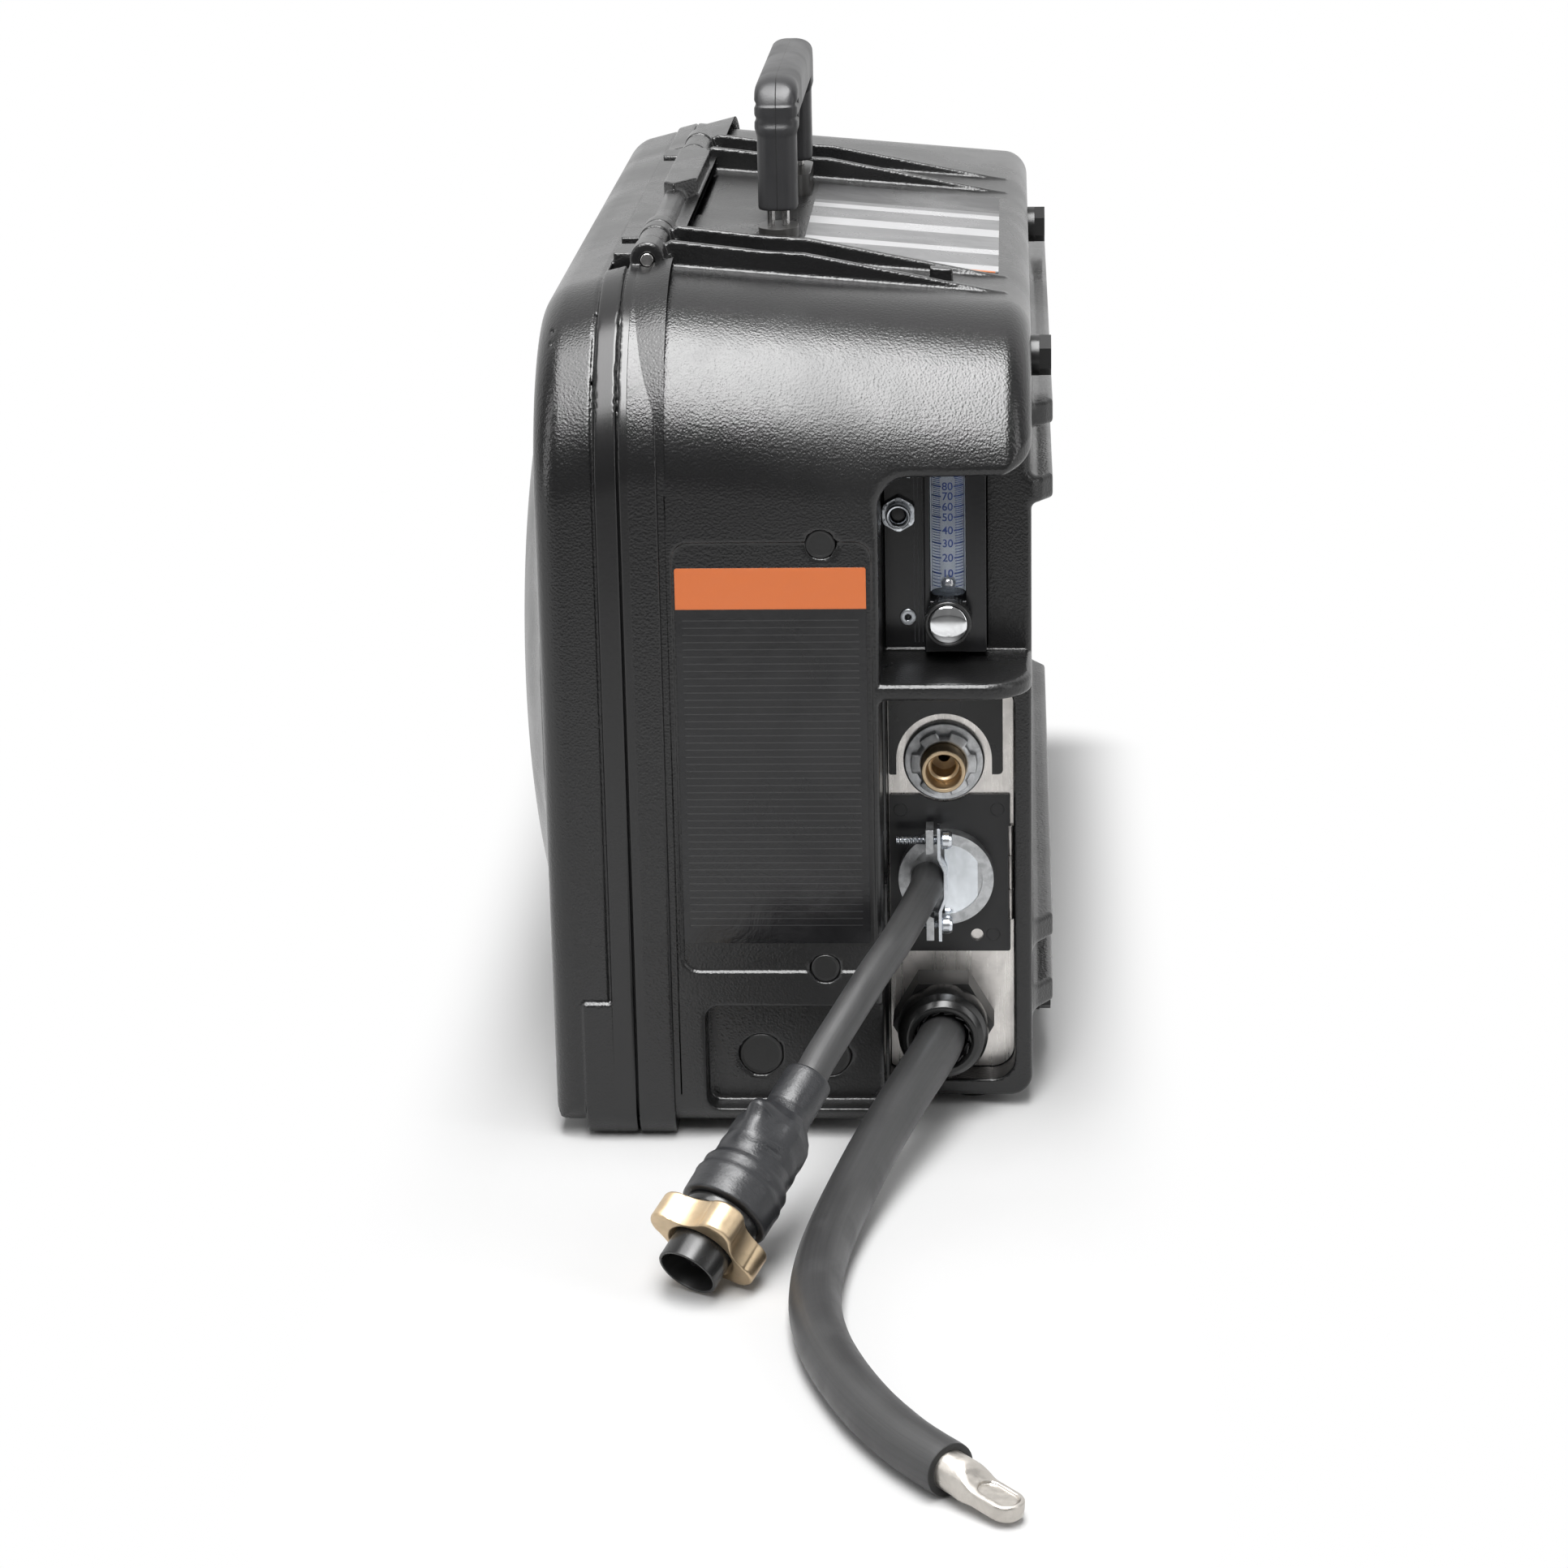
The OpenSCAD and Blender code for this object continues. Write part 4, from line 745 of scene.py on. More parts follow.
# Colour, roughness, stretch and scale of the brush lines, then their depth and how far the roughness varies.
METALS = {
    "pin_steel": ((0.62, 0.61, 0.6), 0.22, EVEN, 300.0),
    "cap_chrome": ((0.86, 0.87, 0.88), 0.1, EVEN, 250.0, 0.000002, 0.03),
    "zinc": ((0.72, 0.75, 0.79), 0.26, EVEN, 90.0, 0.000006, 0.05),
    "panel_steel": ((0.76, 0.73, 0.7), 0.3, (1, 1, 0.04), 500.0, 0.000012),
    "lug_tin": ((0.55, 0.52, 0.48), 0.38, EVEN, 200.0, 0.00006, 0.12),
    "zinc_sheet": ((0.5, 0.51, 0.53), 0.36, (1, 0.1, 1), 120.0),
    "cast_alloy": ((0.5, 0.5, 0.5), 0.48, EVEN, 400.0, 0.00008),
    "bright_zinc": ((0.8, 0.84, 0.88), 0.2, EVEN, 60.0, 0.000004, 0.05),
}
MADE_ALONE = {
    "grip_rubber": grip_rubber, "label_film": rear_label_film, "roof_film": roof_label, "tube_clear": tube_glass,
    "cable_rubber": cable_rubber, "boot_rubber": boot_rubber, "cast_zinc": cast_zinc,
}


def make_finishes(settings):
    """Every finish by its slot name; a few more are for new pieces."""
    make_effects()
    return {
        "case_black": case_plastic(settings),
        "brass": metal("brass", tuple(settings.brass_colour), 0.4, EVEN, 200.0, 0.00002, 0.06),
        **{name: plastic(name, *row) for name, row in PLASTICS.items()},
        **{name: metal(name, *row) for name, row in METALS.items()},
        **{name: make() for name, make in MADE_ALONE.items()},
    }


FINISH = {}


# ---------------------------------------------------------------- the stage


CAMERA_PLACE = (0.099671, -1.890456, 0.673523)
CAMERA_TURN = math.radians(3.364), math.radians(17.646), math.radians(1.202)
FLOOR_DROP = 0.0002
SHADOW_WIDE, SHADOW_DEEP, SHADOW_AHEAD, SHADOW_EDGE = 0.118, 0.45, 0.17, 0.06


def stage_camera(settings):
    """The camera: it stands behind the connection end, a little right of it, looking down 17.6 degrees."""
    data = bpy.data.cameras.new("Camera")
    data.lens, data.sensor_width = settings.lens, 36.0
    data.clip_start, data.clip_end = 0.05, 60.0
    yaw, pitch, roll = CAMERA_TURN
    right = np.array([math.cos(yaw), math.sin(yaw), 0.0])
    ahead = np.array([-math.sin(yaw) * math.cos(pitch), math.cos(yaw) * math.cos(pitch), -math.sin(pitch)])
    up = np.cross(right, ahead)
    x = math.cos(roll) * right - math.sin(roll) * up
    y = math.cos(roll) * up + math.sin(roll) * right
    camera = bpy.data.objects.new("Camera", data)
    spin = np.stack([x, y, -ahead], 1)
    camera.matrix_world = Matrix.Translation(CAMERA_PLACE) @ Matrix(spin.tolist()).to_4x4()
    bpy.context.scene.collection.objects.link(camera)
    bpy.context.scene.camera = camera


def softbox(name, place, target, size, power, gloss_only=False):
    """A rectangular softbox; one that is for gloss only shows in reflections and leaves matt colours alone."""
    data = bpy.data.lights.new(name, "AREA")
    data.shape, data.size, data.size_y = "RECTANGLE", size[0], size[1]
    data.energy = power
    lamp = bpy.data.objects.new(name, data)
    aim = Vector(target) - Vector(place)
    lamp.rotation_euler = aim.to_track_quat("-Z", "Y").to_euler()
    lamp.location = place
    lamp.visible_diffuse = not gloss_only
    bpy.context.scene.collection.objects.link(lamp)


def white_floor():
    """A wide floor: matte white near the object, where it takes the shadow, and plain white further out. Well in
    front of the object it is dark to reflections, so that upright black faces stay black."""
    work = bmesh.new()
    bmesh.ops.create_grid(work, x_segments=8, y_segments=8, size=6.0)
    mesh = bpy.data.meshes.new("floor")
    work.to_mesh(mesh)
    work.free()
    floor = bpy.data.objects.new("floor", mesh)
    floor.location = (0, 0, -FLOOR_DROP)
    bpy.context.scene.collection.objects.link(floor)
    material = bpy.data.materials.new("floor_white")
    material.use_nodes = True
    tree = material.node_tree
    tree.nodes.clear()
    place = add_node(tree, "ShaderNodeTexCoord").outputs["Object"]
    across, depth = add_node(tree, "ShaderNodeSeparateXYZ", Vector=place).outputs[:2]

    def past(value, limit):
        """How far a value lies past a limit on either side, squared."""
        over = maths(tree, "MAXIMUM", maths(tree, "SUBTRACT", maths(tree, "ABSOLUTE", value), limit), 0.0)
        return maths(tree, "MULTIPLY", over, over)

    beyond = past(maths(tree, "ADD", depth, SHADOW_AHEAD), SHADOW_DEEP)
    far = maths(tree, "SQRT", maths(tree, "ADD", past(across, SHADOW_WIDE), beyond))
    fade = ramp(tree, far, 0.0, SHADOW_EDGE)
    front = ramp(tree, depth, -1.5, -0.75)
    path = add_node(tree, "ShaderNodeLightPath").outputs
    mirrored = maths(tree, "ADD", path["Is Glossy Ray"], path["Is Transmission Ray"])
    mirrored = maths(tree, "MULTIPLY", mirrored, front)
    seen = maths(tree, "MINIMUM", maths(tree, "ADD", path["Is Camera Ray"], mirrored), 1.0)
    matte = add_node(tree, "ShaderNodeBsdfDiffuse", Color=ramp(tree, front, 0.0, 1.0, (0.15, 0.79), False))
    glow = add_node(tree, "ShaderNodeEmission", Color=(1, 1, 1, 1), Strength=1.0)
    share = maths(tree, "MULTIPLY", fade, seen)
    blend = add_node(tree, "ShaderNodeMixShader", i0=share, i1=matte.outputs[0], i2=glow.outputs[0])
    add_node(tree, "ShaderNodeOutputMaterial", Surface=blend.outputs[0])
    mesh.materials.append(material)


def room_light(strength):
    """White where the camera looks; for reflections, white behind the object and dim behind the camera."""
    world = bpy.data.worlds.new("Studio")
    bpy.context.scene.world = world
    world.use_nodes = True
    tree = world.node_tree
    tree.nodes.clear()
    way = add_node(tree, "ShaderNodeTexCoord").outputs["Generated"]
    way = add_node(tree, "ShaderNodeSeparateXYZ", Vector=way).outputs
    behind = ramp(tree, way[1], -0.1, 0.55, (strength, 1.0))
    path = add_node(tree, "ShaderNodeLightPath").outputs
    mirror = maths(tree, "MINIMUM", maths(tree, "ADD", path["Is Glossy Ray"], path["Is Transmission Ray"]), 1.0)
    level = add_node(tree, "ShaderNodeMix", i0=mirror, i2=strength, i3=behind).outputs[0]
    level = add_node(tree, "ShaderNodeMix", i0=path["Is Camera Ray"], i2=level, i3=1.0).outputs[0]
    shade = add_node(tree, "ShaderNodeBackground", Color=(1, 1, 1, 1), Strength=level)
    add_node(tree, "ShaderNodeOutputWorld", Surface=shade.outputs[0])


# ---------------------------------------------------------------- the cables


def along_attribute(piece, rows, count, radius, run):
    """Keeps for each point of a tube its place round the section and along the route, in metres."""
    turn = ring_of(count)
    ring = np.stack([np.cos(turn), np.sin(turn)], 1) * radius / 1000
    place = np.zeros((rows, count, 3))
    place[:, :, :2] = ring
    place[:, :, 2] = run[:, None] / 1000
    layer = piece.data.attributes.new("along", "FLOAT_VECTOR", "POINT")
    layer.data.foreach_set("vector", place.reshape(-1).astype(np.float32))


def cable(name, route, radius, node):
    """A round jacket on its route; the points stay in the order of the rings, so that lines can follow it."""
    path = smooth_route(route, 2.5)
    verts, faces, rows = tube(path, radius)
    mesh = new_mesh(name, verts, faces)
    made = finish_piece(name, mesh, "cable_rubber", "case", [node])
    length = np.linalg.norm(np.diff(path, axis=0), axis=1).sum()
    run = np.concatenate([[0, 0], np.linspace(0, 1, rows - 4), [1, 1]]) * length
    along_attribute(made, rows, 40, radius, run)
    mesh.set_sharp_from_angle(angle=math.radians(50))
    return made, seated(path), float(length) / 1000


def power_lug():
    """The tinned lug: a round bar that flattens into a tongue with a rounded end and a shallow blind recess.
    The section is a superellipse whose power grows from 2 to 5 as the bar flattens."""
    end = np.array(POWER_ROUTE[-1])
    low, high = (-11, -11, -9), (37, 11, 9)
    clay = Clay(
        lines(-11, 37, 1.2, 0.45, [(-9, 36)]), lines(-11, 11, 1.0, 0.45, [(-9, 9)]),
        lines(-9, 9, 1.0, 0.45, [(-8, 8)]),
    )
    bar_radius, thinned, dropped = 7.4, 4.1, 1.1

    def bar(x, y, z):
        k = np.clip((x - 4) / 13, 0, 1) ** 1.3
        k = k * k * (3 - 2 * k)
        power = 2 + 3 * k
        drop = dropped * k
        flat = bar_radius - thinned * k
        ring = (np.abs(y / bar_radius) ** power + np.abs((z + drop) / flat) ** power + 1e-9) ** (1 / power)
        return round_and((ring - 1) * flat, slab(x, -8, 40), 0.5)

    def recess(x, y, z):
        return np.maximum(rect(x, y, 14.8, -4.4, 31.2, 4.4, (4.4,) * 4), 1.25 - z)

    clay.add(low, high, bar)
    x, y, z = clay.near(low, high, 6)[1:]
    clay.field = round_and(clay.field, rect(x, y, -20, -7.35, 33.3, 7.35, (0, 7.3, 7.3, 0)), 1.1)
    clay.cut((12, -6, -1), (34, 6, 9), recess, 0.4)
    verts, faces = clay.surface()
    turn = Matrix.Rotation(LUG_TURN, 3, "Z") @ Matrix.Rotation(LUG_DIP, 3, "Y")
    verts = verts @ np.array(turn).T + end
    return weighted(piece("lug", (verts, faces), "lug_tin", nodes=["power_lug"], sharp=None))


def jacket_end():
    """The cut face of the jacket, a thin ring round the lug; its near-black colour is painted shade, since the face
    turns away from the lamps.
    """
    end = np.array(POWER_ROUTE[-1])
    along = unit(end - np.array(POWER_ROUTE[-2]))
    ring = soft_corners([(7.45, -0.4), (10.0, -0.4), (10.0, 0.25), (7.6, 0.25)], 0.2, 2, True)
    return piece("jacket_end", turned(end, along, ring, 64), "shaded_end_rubber", slot="cable_rubber", sharp=40)


def plug_surface(profile, swell=None, count=96):
    """A profile turned round the plug's axis."""
    return turned(PLUG_AT, PLUG_AXIS, profile, count, swell)


def hill(*parts):
    """A smooth hill of height 1; each pair is a distance from its top and its width that way."""
    return np.exp(-sum((off / wide) ** 2 for off, wide in parts))


def boot_swell(turn, r, s):
    """The sleeve shrunk over the clamp: its section is squared off there and carries a bump over each screw,
    one with a small nipple; two low ribs and a few folds follow towards the open end."""
    def gap(a):
        return np.abs((turn - a + math.pi) % (2 * math.pi) - math.pi)

    bump = 0
    for side in (math.pi / 2, -math.pi / 2):
        off = gap(side)
        bump = bump + 5.5 * hill((off, 0.34), (s - 29.0, 4.8)) + 2.7 * hill((off, 0.5), (s - 40, 8))
    bump = bump + 1.5 * hill((gap(NIPPLE), 0.13), (s - 26.5, 1.7))
    facet = np.cos((turn + math.pi / 6) % (math.pi / 3) - math.pi / 6) ** -1
    square = 1.5 * (1.08 - facet) / 0.08 * np.exp(-(((s - 31) / 9) ** 4))
    fold = 0.35 * np.sin(s * 0.62 + 1.6 * np.sin(turn * 2 + 0.6)) * hill((s - 44, 8))
    fold = fold + 0.3 * np.sin(turn * 5 + s * 0.12) * hill((s - 24, 8))
    rib = 0.55 * hill((s - 53.5, 1.5)) + 0.4 * hill((s - 60, 1.3)) - 0.35 * hill((s - 57, 1.6))
    shell = (r > 9.0) & (s > 2) & (s < 71)
    return np.where(shell, r + bump - np.clip(square, 0, 1.6) * 0.6 + fold + rib, r), s


def control_plug():
    """Shrunk boot, black shell with its ring, socket insert and the winged brass nut."""
    boot = fine_profile(soft_corners([
        (7.05, 1.2), (7.05, 0), (10.0, 0), (10.2, 4), (10.2, 18), (11, 22), (14.6, 27), (16.2, 31), (16.4, 38),
        (16.3, 46), (17, 51), (18.1, 55), (18.6, 58), (18.7, 63), (18.6, 72), (12.8, 72), (12.8, 62), (7.05, 60),
    ], 1.2, 3, True), 1.1)
    mesh = new_mesh("boot", *plug_surface(boot, boot_swell, 120))
    made = finish_piece("boot", mesh, "boot_rubber", "case", ["plug_boot"])
    along_attribute(made, len(boot), 120, 14.0, boot[:, 1])
    mesh.set_sharp_from_angle(angle=math.radians(60))
    ring = soft_corners([(12.4, 72.2), (15.9, 72.2), (15.9, 76.6), (12.4, 76.6)], 0.6, 3, True)
    barrel = soft_corners([
        (11.4, 92.2), (11.4, 101), (12.6, 101), (12.6, 82.9), (13.8, 82.8), (13.8, 81.4), (12.6, 81.3),
        (12.6, 63), (0, 63), (0, 84), (11.4, 84),
    ], 0.35, 3, True)
    shell = joined(plug_surface(ring), plug_surface(barrel))
    shell = piece("shell", shell, "shell_black", nodes=["plug_shell"])
    face = [(0.0, 91.8), (10.6, 91.8), (11.3, 91.2), (11.3, 84.4), (0.0, 84.4)]
    eye = soft_corners([(0.55, 90), (0.55, 92.6), (1.25, 92.6), (1.25, 90)], 0.2, 2, True)
    side, other = around(PLUG_AXIS)
    pins = []
    for count, at in ((4, 4.2), (10, 8.6)):
        for k in range(count):
            a = 2 * math.pi * (k + 0.5) / count
            spot = PLUG_AT + at * (math.cos(a) * side + math.sin(a) * other)
            pins.append(turned(spot, PLUG_AXIS, eye, 12))
    insert = joined(plug_surface(face, count=64), *pins)
    return [made, shell, piece("insert", insert, "insert_black", nodes=["plug_insert"])]


def wing_radius(turn):
    """Outer radius of the nut at an angle: the smaller of a ring scooped by four round cutters and a collar
    with four round wings, with the corner between them eased."""
    scoop_off = np.abs((turn - math.radians(45) + math.pi / 4) % (math.pi / 2) - math.pi / 4)
    inner = 13.0**2 - (29.0 * np.sin(scoop_off)) ** 2
    scoop = np.where(inner > 0, 29 * np.cos(scoop_off) - np.sqrt(np.maximum(inner, 0)), 24.0)
    wing_off = np.abs((turn + math.pi / 4) % (math.pi / 2) - math.pi / 4)
    reach = 7.5**2 - (16.5 * np.sin(wing_off)) ** 2
    wing = np.where(reach > 0, 16.5 * np.cos(wing_off) + np.sqrt(np.maximum(reach, 0)), 0.0)
    wing = np.maximum(wing, 19.0)
    return -np.logaddexp(-scoop / 0.35, -wing / 0.35) * 0.35


def coupling_nut():
    """Brass nut with four wings, a soft outer edge and a fine inner thread."""
    start, collar = math.radians(50), 15.2
    profile = list(soft_corners([(12.7, 81), (12.7, 77), (24, 77), (24, 90), (14.6, 90), (14.0, 89.2)], 1.5, 5))
    thread = [(14.35 + 0.35 * math.cos(2 * math.pi * s / 1.4), s) for s in np.arange(88.9, 81.2, -0.14)]
    profile = np.array(profile + thread + [(12.8, 81.1)])

    def swell(turn, r, s):
        grow = wing_radius(turn - start)
        wobble = 0.12 * np.sin(3 * turn + s * 0.9) + 0.08 * np.sin(7 * turn - s * 0.5)
        over = r - collar
        outer = np.where(over > 0, collar + over * (grow - collar) / (24 - collar) + wobble * over / 8.8, r)
        helix = (s < 89) & (s > 81.3) & (r < 14.75) & (r > 13.9)
        return np.where(helix, 14.35 + 0.35 * np.cos(2 * math.pi * s / 1.4 + turn), outer), s

    made = piece("nut", plug_surface(profile, swell, 288), "brass", "plug_nut", ["coupling_nut"])
    return weighted(made)


def make_cables():
    """Both cables as cords, each with the pieces at its free end."""
    power, path, length = cable("power_jacket", POWER_ROUTE, POWER_RADIUS, "power_cable")
    end = [power_lug(), jacket_end()]
    control, path, length2 = cable("control_jacket", CONTROL_ROUTE, CONTROL_RADIUS, "control_cable")
    plug = [*control_plug(), coupling_nut()]
    print(f"cords: power {length:.3f} m, control {length2:.3f} m")


# ------------------------------------------------------------------ the case


UNDERSIDE, UNDER_RADII = 5.5, (14, 30, 0, 0)
TALL, WIDE = 480, 200
GROOVE = 0.75
PIN_BORE = 2.95
LATCH = (381, 44)
DOOR_DEEP = 36


def roof_height(x, z, tilt):
    """Height measured square to the tilted roof, so that a side view drawn flat can be used."""
    t = math.radians(tilt)
    return x * math.sin(t) + (z - ROOF_Z) * math.cos(t) + ROOF_Z


def side_view(x, y, z, inset, tilt):
    """Side view of the roof with its two round shoulders."""
    top = ROOF_Z + PROUD - inset
    return rect(y, roof_height(x, z, tilt), inset, -90, LENGTH - inset, top, (0, 0, 92 - inset, 77.5 - inset))


def case_outside(x, y, z, inset, base, groove=0.0):
    """The body of the case: side view, plan, underside and right wall, each with its own round corners."""
    edge = inset + groove
    right = RIGHT + PROUD - inset
    top = round_and(side_view(x, y, z, edge, ROOF_TILT), x - right, max(12.5 - inset, 1))
    plan = rect(x, y, -WIDE, edge, right, LENGTH - edge, (0, 22 - inset, 34 - inset, 0))
    under = rect(y, z, edge, base, LENGTH - edge, TALL, UNDER_RADII)
    foot = rect(x, z, -WIDE, base, right, TALL, (0, 11 - inset, 0, 0))
    return common(top, plan, under, foot)


def flange(x, y, z, low, high, tilt, depth, soft):
    """Raised band round the seam: the outline with a smaller one taken out, its two rims softened."""
    out = np.maximum(side_view(x, y, z, 0, tilt), rect(y, z, 0, 0, LENGTH, TALL, UNDER_RADII))
    hole = rect(y, z, depth, depth, LENGTH - depth, TALL, (10, 24, 0, 0))
    hole = np.maximum(side_view(x, y, z, depth, tilt), hole)
    return np.maximum(round_and(out, slab(x, low, high), soft), -hole)


def block(low, high):
    """A box."""
    return lambda *place: common(*(slab(*edge) for edge in zip(place, low, high)))


def bore(centre, r, low=-WIDE, high=2 * TALL):
    """A round hole along y."""
    return lambda x, y, z: np.maximum(disc(x, z, *centre, r), slab(y, low, high))


def pocket(edges, radii, low=-WIDE, high=2 * TALL):
    """A rectangular pocket along y."""
    return lambda x, y, z: np.maximum(rect(x, z, *edges, radii), slab(y, low, high))


def pin_bore(x, y, z):
    return disc(x, z, *HINGE, PIN_BORE)


def case_details(clay):
    """Ribs, gutter, knuckles, the seat of the stop, rails and the label channel's stop."""
    for y0 in RIBS:
        def rib(x, y, z):
            return round_and(polygon(x, z, RIB_SIDE), slab(y, y0, y0 + RIB_THICK), 0.8)
        clay.add((8, y0, 340), (160, y0 + RIB_THICK, 376), rib, 1.6)
    clay.add((0, 72, 350), (17, 408, 362), block((0.3, 72, 350), (16.3, 408, 362)))
    for a, b in CASE_KNUCKLES:
        def knuckle(x, y, z):
            web = np.maximum(slab(x, 3, 17), slab(z, 352, 367.5))
            return round_and(np.minimum(disc(x, z, *HINGE, 7.4), web), slab(y, a, b), 1.3)
        clay.add((-2, a, 350), (18, b, 376), knuckle, 0.8)

    def stop_seat(x, y, z):
        return common(disc(x, z, *HINGE, 16), slab(y, 218, 334), z - 362, 0.3 - x)

    clay.add((-2, 218, 340), (26, 334, 362), stop_seat)
    side = [(166, 46), (169, 46), (178, 60), (178, 452), (169, 468), (166, 468)]
    for a, b in ((300, 311), (268, 279), (72, 83), (42, 53)):
        def rail(x, y, z):
            return round_and(polygon(x, y, side), slab(z, a, b), 2.0)
        clay.add((165, 44, a), (179, 470, b), rail, 3.0)

    def label_stop(x, y, z):
        plan = np.maximum(slab(x, 126.2, 136), slab(y, 104, 110))
        return round_and(slab(roof_height(x, z, ROOF_TILT), 360, 370), plan, 0.6)

    clay.add((124, 103, 345), (138, 111, 362), label_stop)


def upper_pocket(x, y, z):
    """Finger pocket: its ceiling climbs inwards, its floor is nearly flat, and it is open to the right."""
    lift = 0.42 * np.maximum(y - 4, 0)
    mouth = rect(x, z - lift, 106, 100, 300, 288.5, (0, 0, 0, 12))
    return np.maximum(round_and(mouth, y - 50, 2.0), 203 + 0.03 * y - z)


def case_cuts(clay):
    """Pockets, recesses, holes and windows, each with its own rim."""
    def lip(x, y, z):
        return 2.4 + 4.0 * np.clip((z - 262) / 30, 0, 1)

    def label_seat(x, y, z):
        return round_and(rect(x, z, 21, 77, 103, 264, (7,) * 4), y - 2.7, 0.6)

    def lower_recess(x, y, z):
        return round_and(rect(x, z, 30, 13.8, 130, 61, (6, 2, 2, 6)), np.maximum(y - 14, x - 106), 1.4)

    clay.cut((100, -2, 196), (180, 52, 320), upper_pocket, lip, 10)
    clay.cut((100, -2, -2), (180, 41, 200), pocket((105.5, -50, 260, 196), (0, 0, 0, 3), high=39.5), 2.2)
    clay.cut((105, 36, 10), (164, 58, 194), pocket((107, 13, 161.5, 192), (2, 10, 10, 2), 30, 57), 0.9)
    for (x0, z0), r in ((INLET, 11), (CLAMP, 13), (GLAND, 16)):
        clay.cut((x0 - r, 54, z0 - r), (x0 + r, 63, z0 + r), bore((x0, z0), r, 54, 64))
    clay.cut((107, 48, 206), (151, 53, 308), block((107, 40, 206), (150, 52, 307)))
    clay.cut((108, 50, 258), (119, 63, 271), bore(PURGE, 4.3, 49, 64))
    clay.cut((20, -2, 75), (104, 4, 266), label_seat, 0.9)
    clay.cut((28, -2, 11), (107, 15, 64), lower_recess, 1.6)
    for x0, z0, r, _ in ROUND_PLUGS:
        clay.cut((x0 - r, -2, z0 - r), (x0 + r, 20, z0 + r), bore((x0, z0), r, high=19), 0.5)
    for a, b in DOOR_KNUCKLES:
        def slot(x, y, z):
            trough = np.minimum(disc(x, z, *HINGE, 8.0), np.maximum(x - 8, 359 - z))
            return np.maximum(trough, slab(y, a - 0.5, b + 0.5))
        clay.cut((-4, a, 355), (18, b, 380), slot, 0.4)
    clay.cut((-6, 221, 350), (22, 331, 382), bore(HINGE, 13.2, 221, 331), 0.6)
    clay.cut((4, 60, 362), (12, 410, 373), pin_bore)
    for y0, y1, z0 in ((171.9, 196.1, 358), (290.9, 339.1, 357.5)):
        def socket(x, y, z):
            return np.maximum(on_handle(x, y, 8.9, y0, y1, 8.8), z0 - z)
        clay.cut((47, y0, 350), (68, y1, 370), socket, 0.5)
    for y0, z0 in ((80, 325), (400, 325), (110, 28), (400, 28)):
        clay.cut((160, y0 - 5, z0 - 5), (175, y0 + 5, z0 + 5), lambda x, y, z: disc(y, z, y0, z0, 4.2))
    clay.cut((12, 556, 138), (56, 566, 184), bore((34, 160.5), 19.2, 540), 0.8)
    clay.cut((64, 530, 126), (154, 568, 272), pocket((69.5, 131.5, 148.5, 266.5), (6,) * 4, 536), 1.6)


def case_body():
    """The case in one: a shell, the walls of its pockets, seam flange and front tray, then details and cuts."""
    xs = lines(-4, 184, 2.4, 0.75, [(0, 17), 21, 30, (105, 109), 150, (159, 172), 177, 49, 66, 103, 134])
    ys = lines(-4, 568, 2.2, 0.75, [
        (0, 3), 14, (38, 41), (50, 52), 56, 78, (90, 97), 119, (126, 134), 46, 60, (172, 173), 196, 222, 291,
        330, 339, (346, 350), 361, 382, (386, 390), 400, 452, 468, 536, (560, 564), (104, 110),
    ])
    zs = lines(-4, 382, 2.2, 0.75, [
        (0, 8), 13.8, 43, 52, 61, 73, 77, 82, (192, 204), 207, 264, 269, 278, 293, 301, 310, (344, 375),
    ])
    clay = Clay(xs, ys, zs)
    all_of = ((-4, -4, -4), (184, 568, 382))

    def outside(x, y, z):
        groove = GROOVE * ((x > 16) & (x < 17.9))
        return np.maximum(case_outside(x, y, z, PROUD, UNDERSIDE, groove), 0.3 - x)

    clay.add(*all_of, outside)
    clay.cut(*all_of, lambda x, y, z: case_outside(x, y, z, PROUD + WALL, 9.5))
    _, x, y, z = clay.near(*all_of, 0)
    outer = case_outside(x, y, z, PROUD, UNDERSIDE)
    for low, high in (((101.5, -2, UNDERSIDE), (175, 61, 319)), ((26, -2, UNDERSIDE), (106, 18, 65))):
        clay.field = np.minimum(clay.field, np.maximum(outer, block(low, high)(x, y, z)))
    clay.add(*all_of, lambda x, y, z: flange(x, y, z, 0.3, 16, ROOF_TILT, 7, 0.7))
    tray = pocket((64.5, 126.5, 153.5, 271.5), (10,) * 4, 533, 561)
    clay.field = np.minimum(clay.field, tray(x, y, z))
    case_details(clay)
    case_cuts(clay)
    nodes = ["case_rear", "case_roof", "case_base", "case_front"]
    return moulded("case_shell", clay, "case_black", 188000, "case", nodes)


def door_outside(x, y, z, inset, base, side, groove=0.0):
    """The body of the door, made as the case is, with its round corners on the left."""
    top = round_and(side_view(x, y, z, inset + groove, DOOR_TILT), -side - x, max(13.5 - inset, 2))
    plan = rect(x, y, -side, inset, 100, LENGTH - inset, (13 - inset, 0, 0, 44 - inset))
    under = rect(y, z, inset, base, LENGTH - inset, TALL, UNDER_RADII)
    foot = rect(x, z, -side, base, 100, TALL, (11 - inset, 0, 0, 0))
    return common(top, plan, under, foot)


def bulge(x, y, z, r, h, back):
    """A round dome over the spool whose height falls with the cube of the radius."""
    far = np.hypot(y - SPOOL[0], z - SPOOL[1])
    lift = h * (1 - (np.minimum(far, r) / r) ** 3)
    return common((-DOOR_DEEP - lift - x) * 0.93, x + DOOR_DEEP - back, far - r)


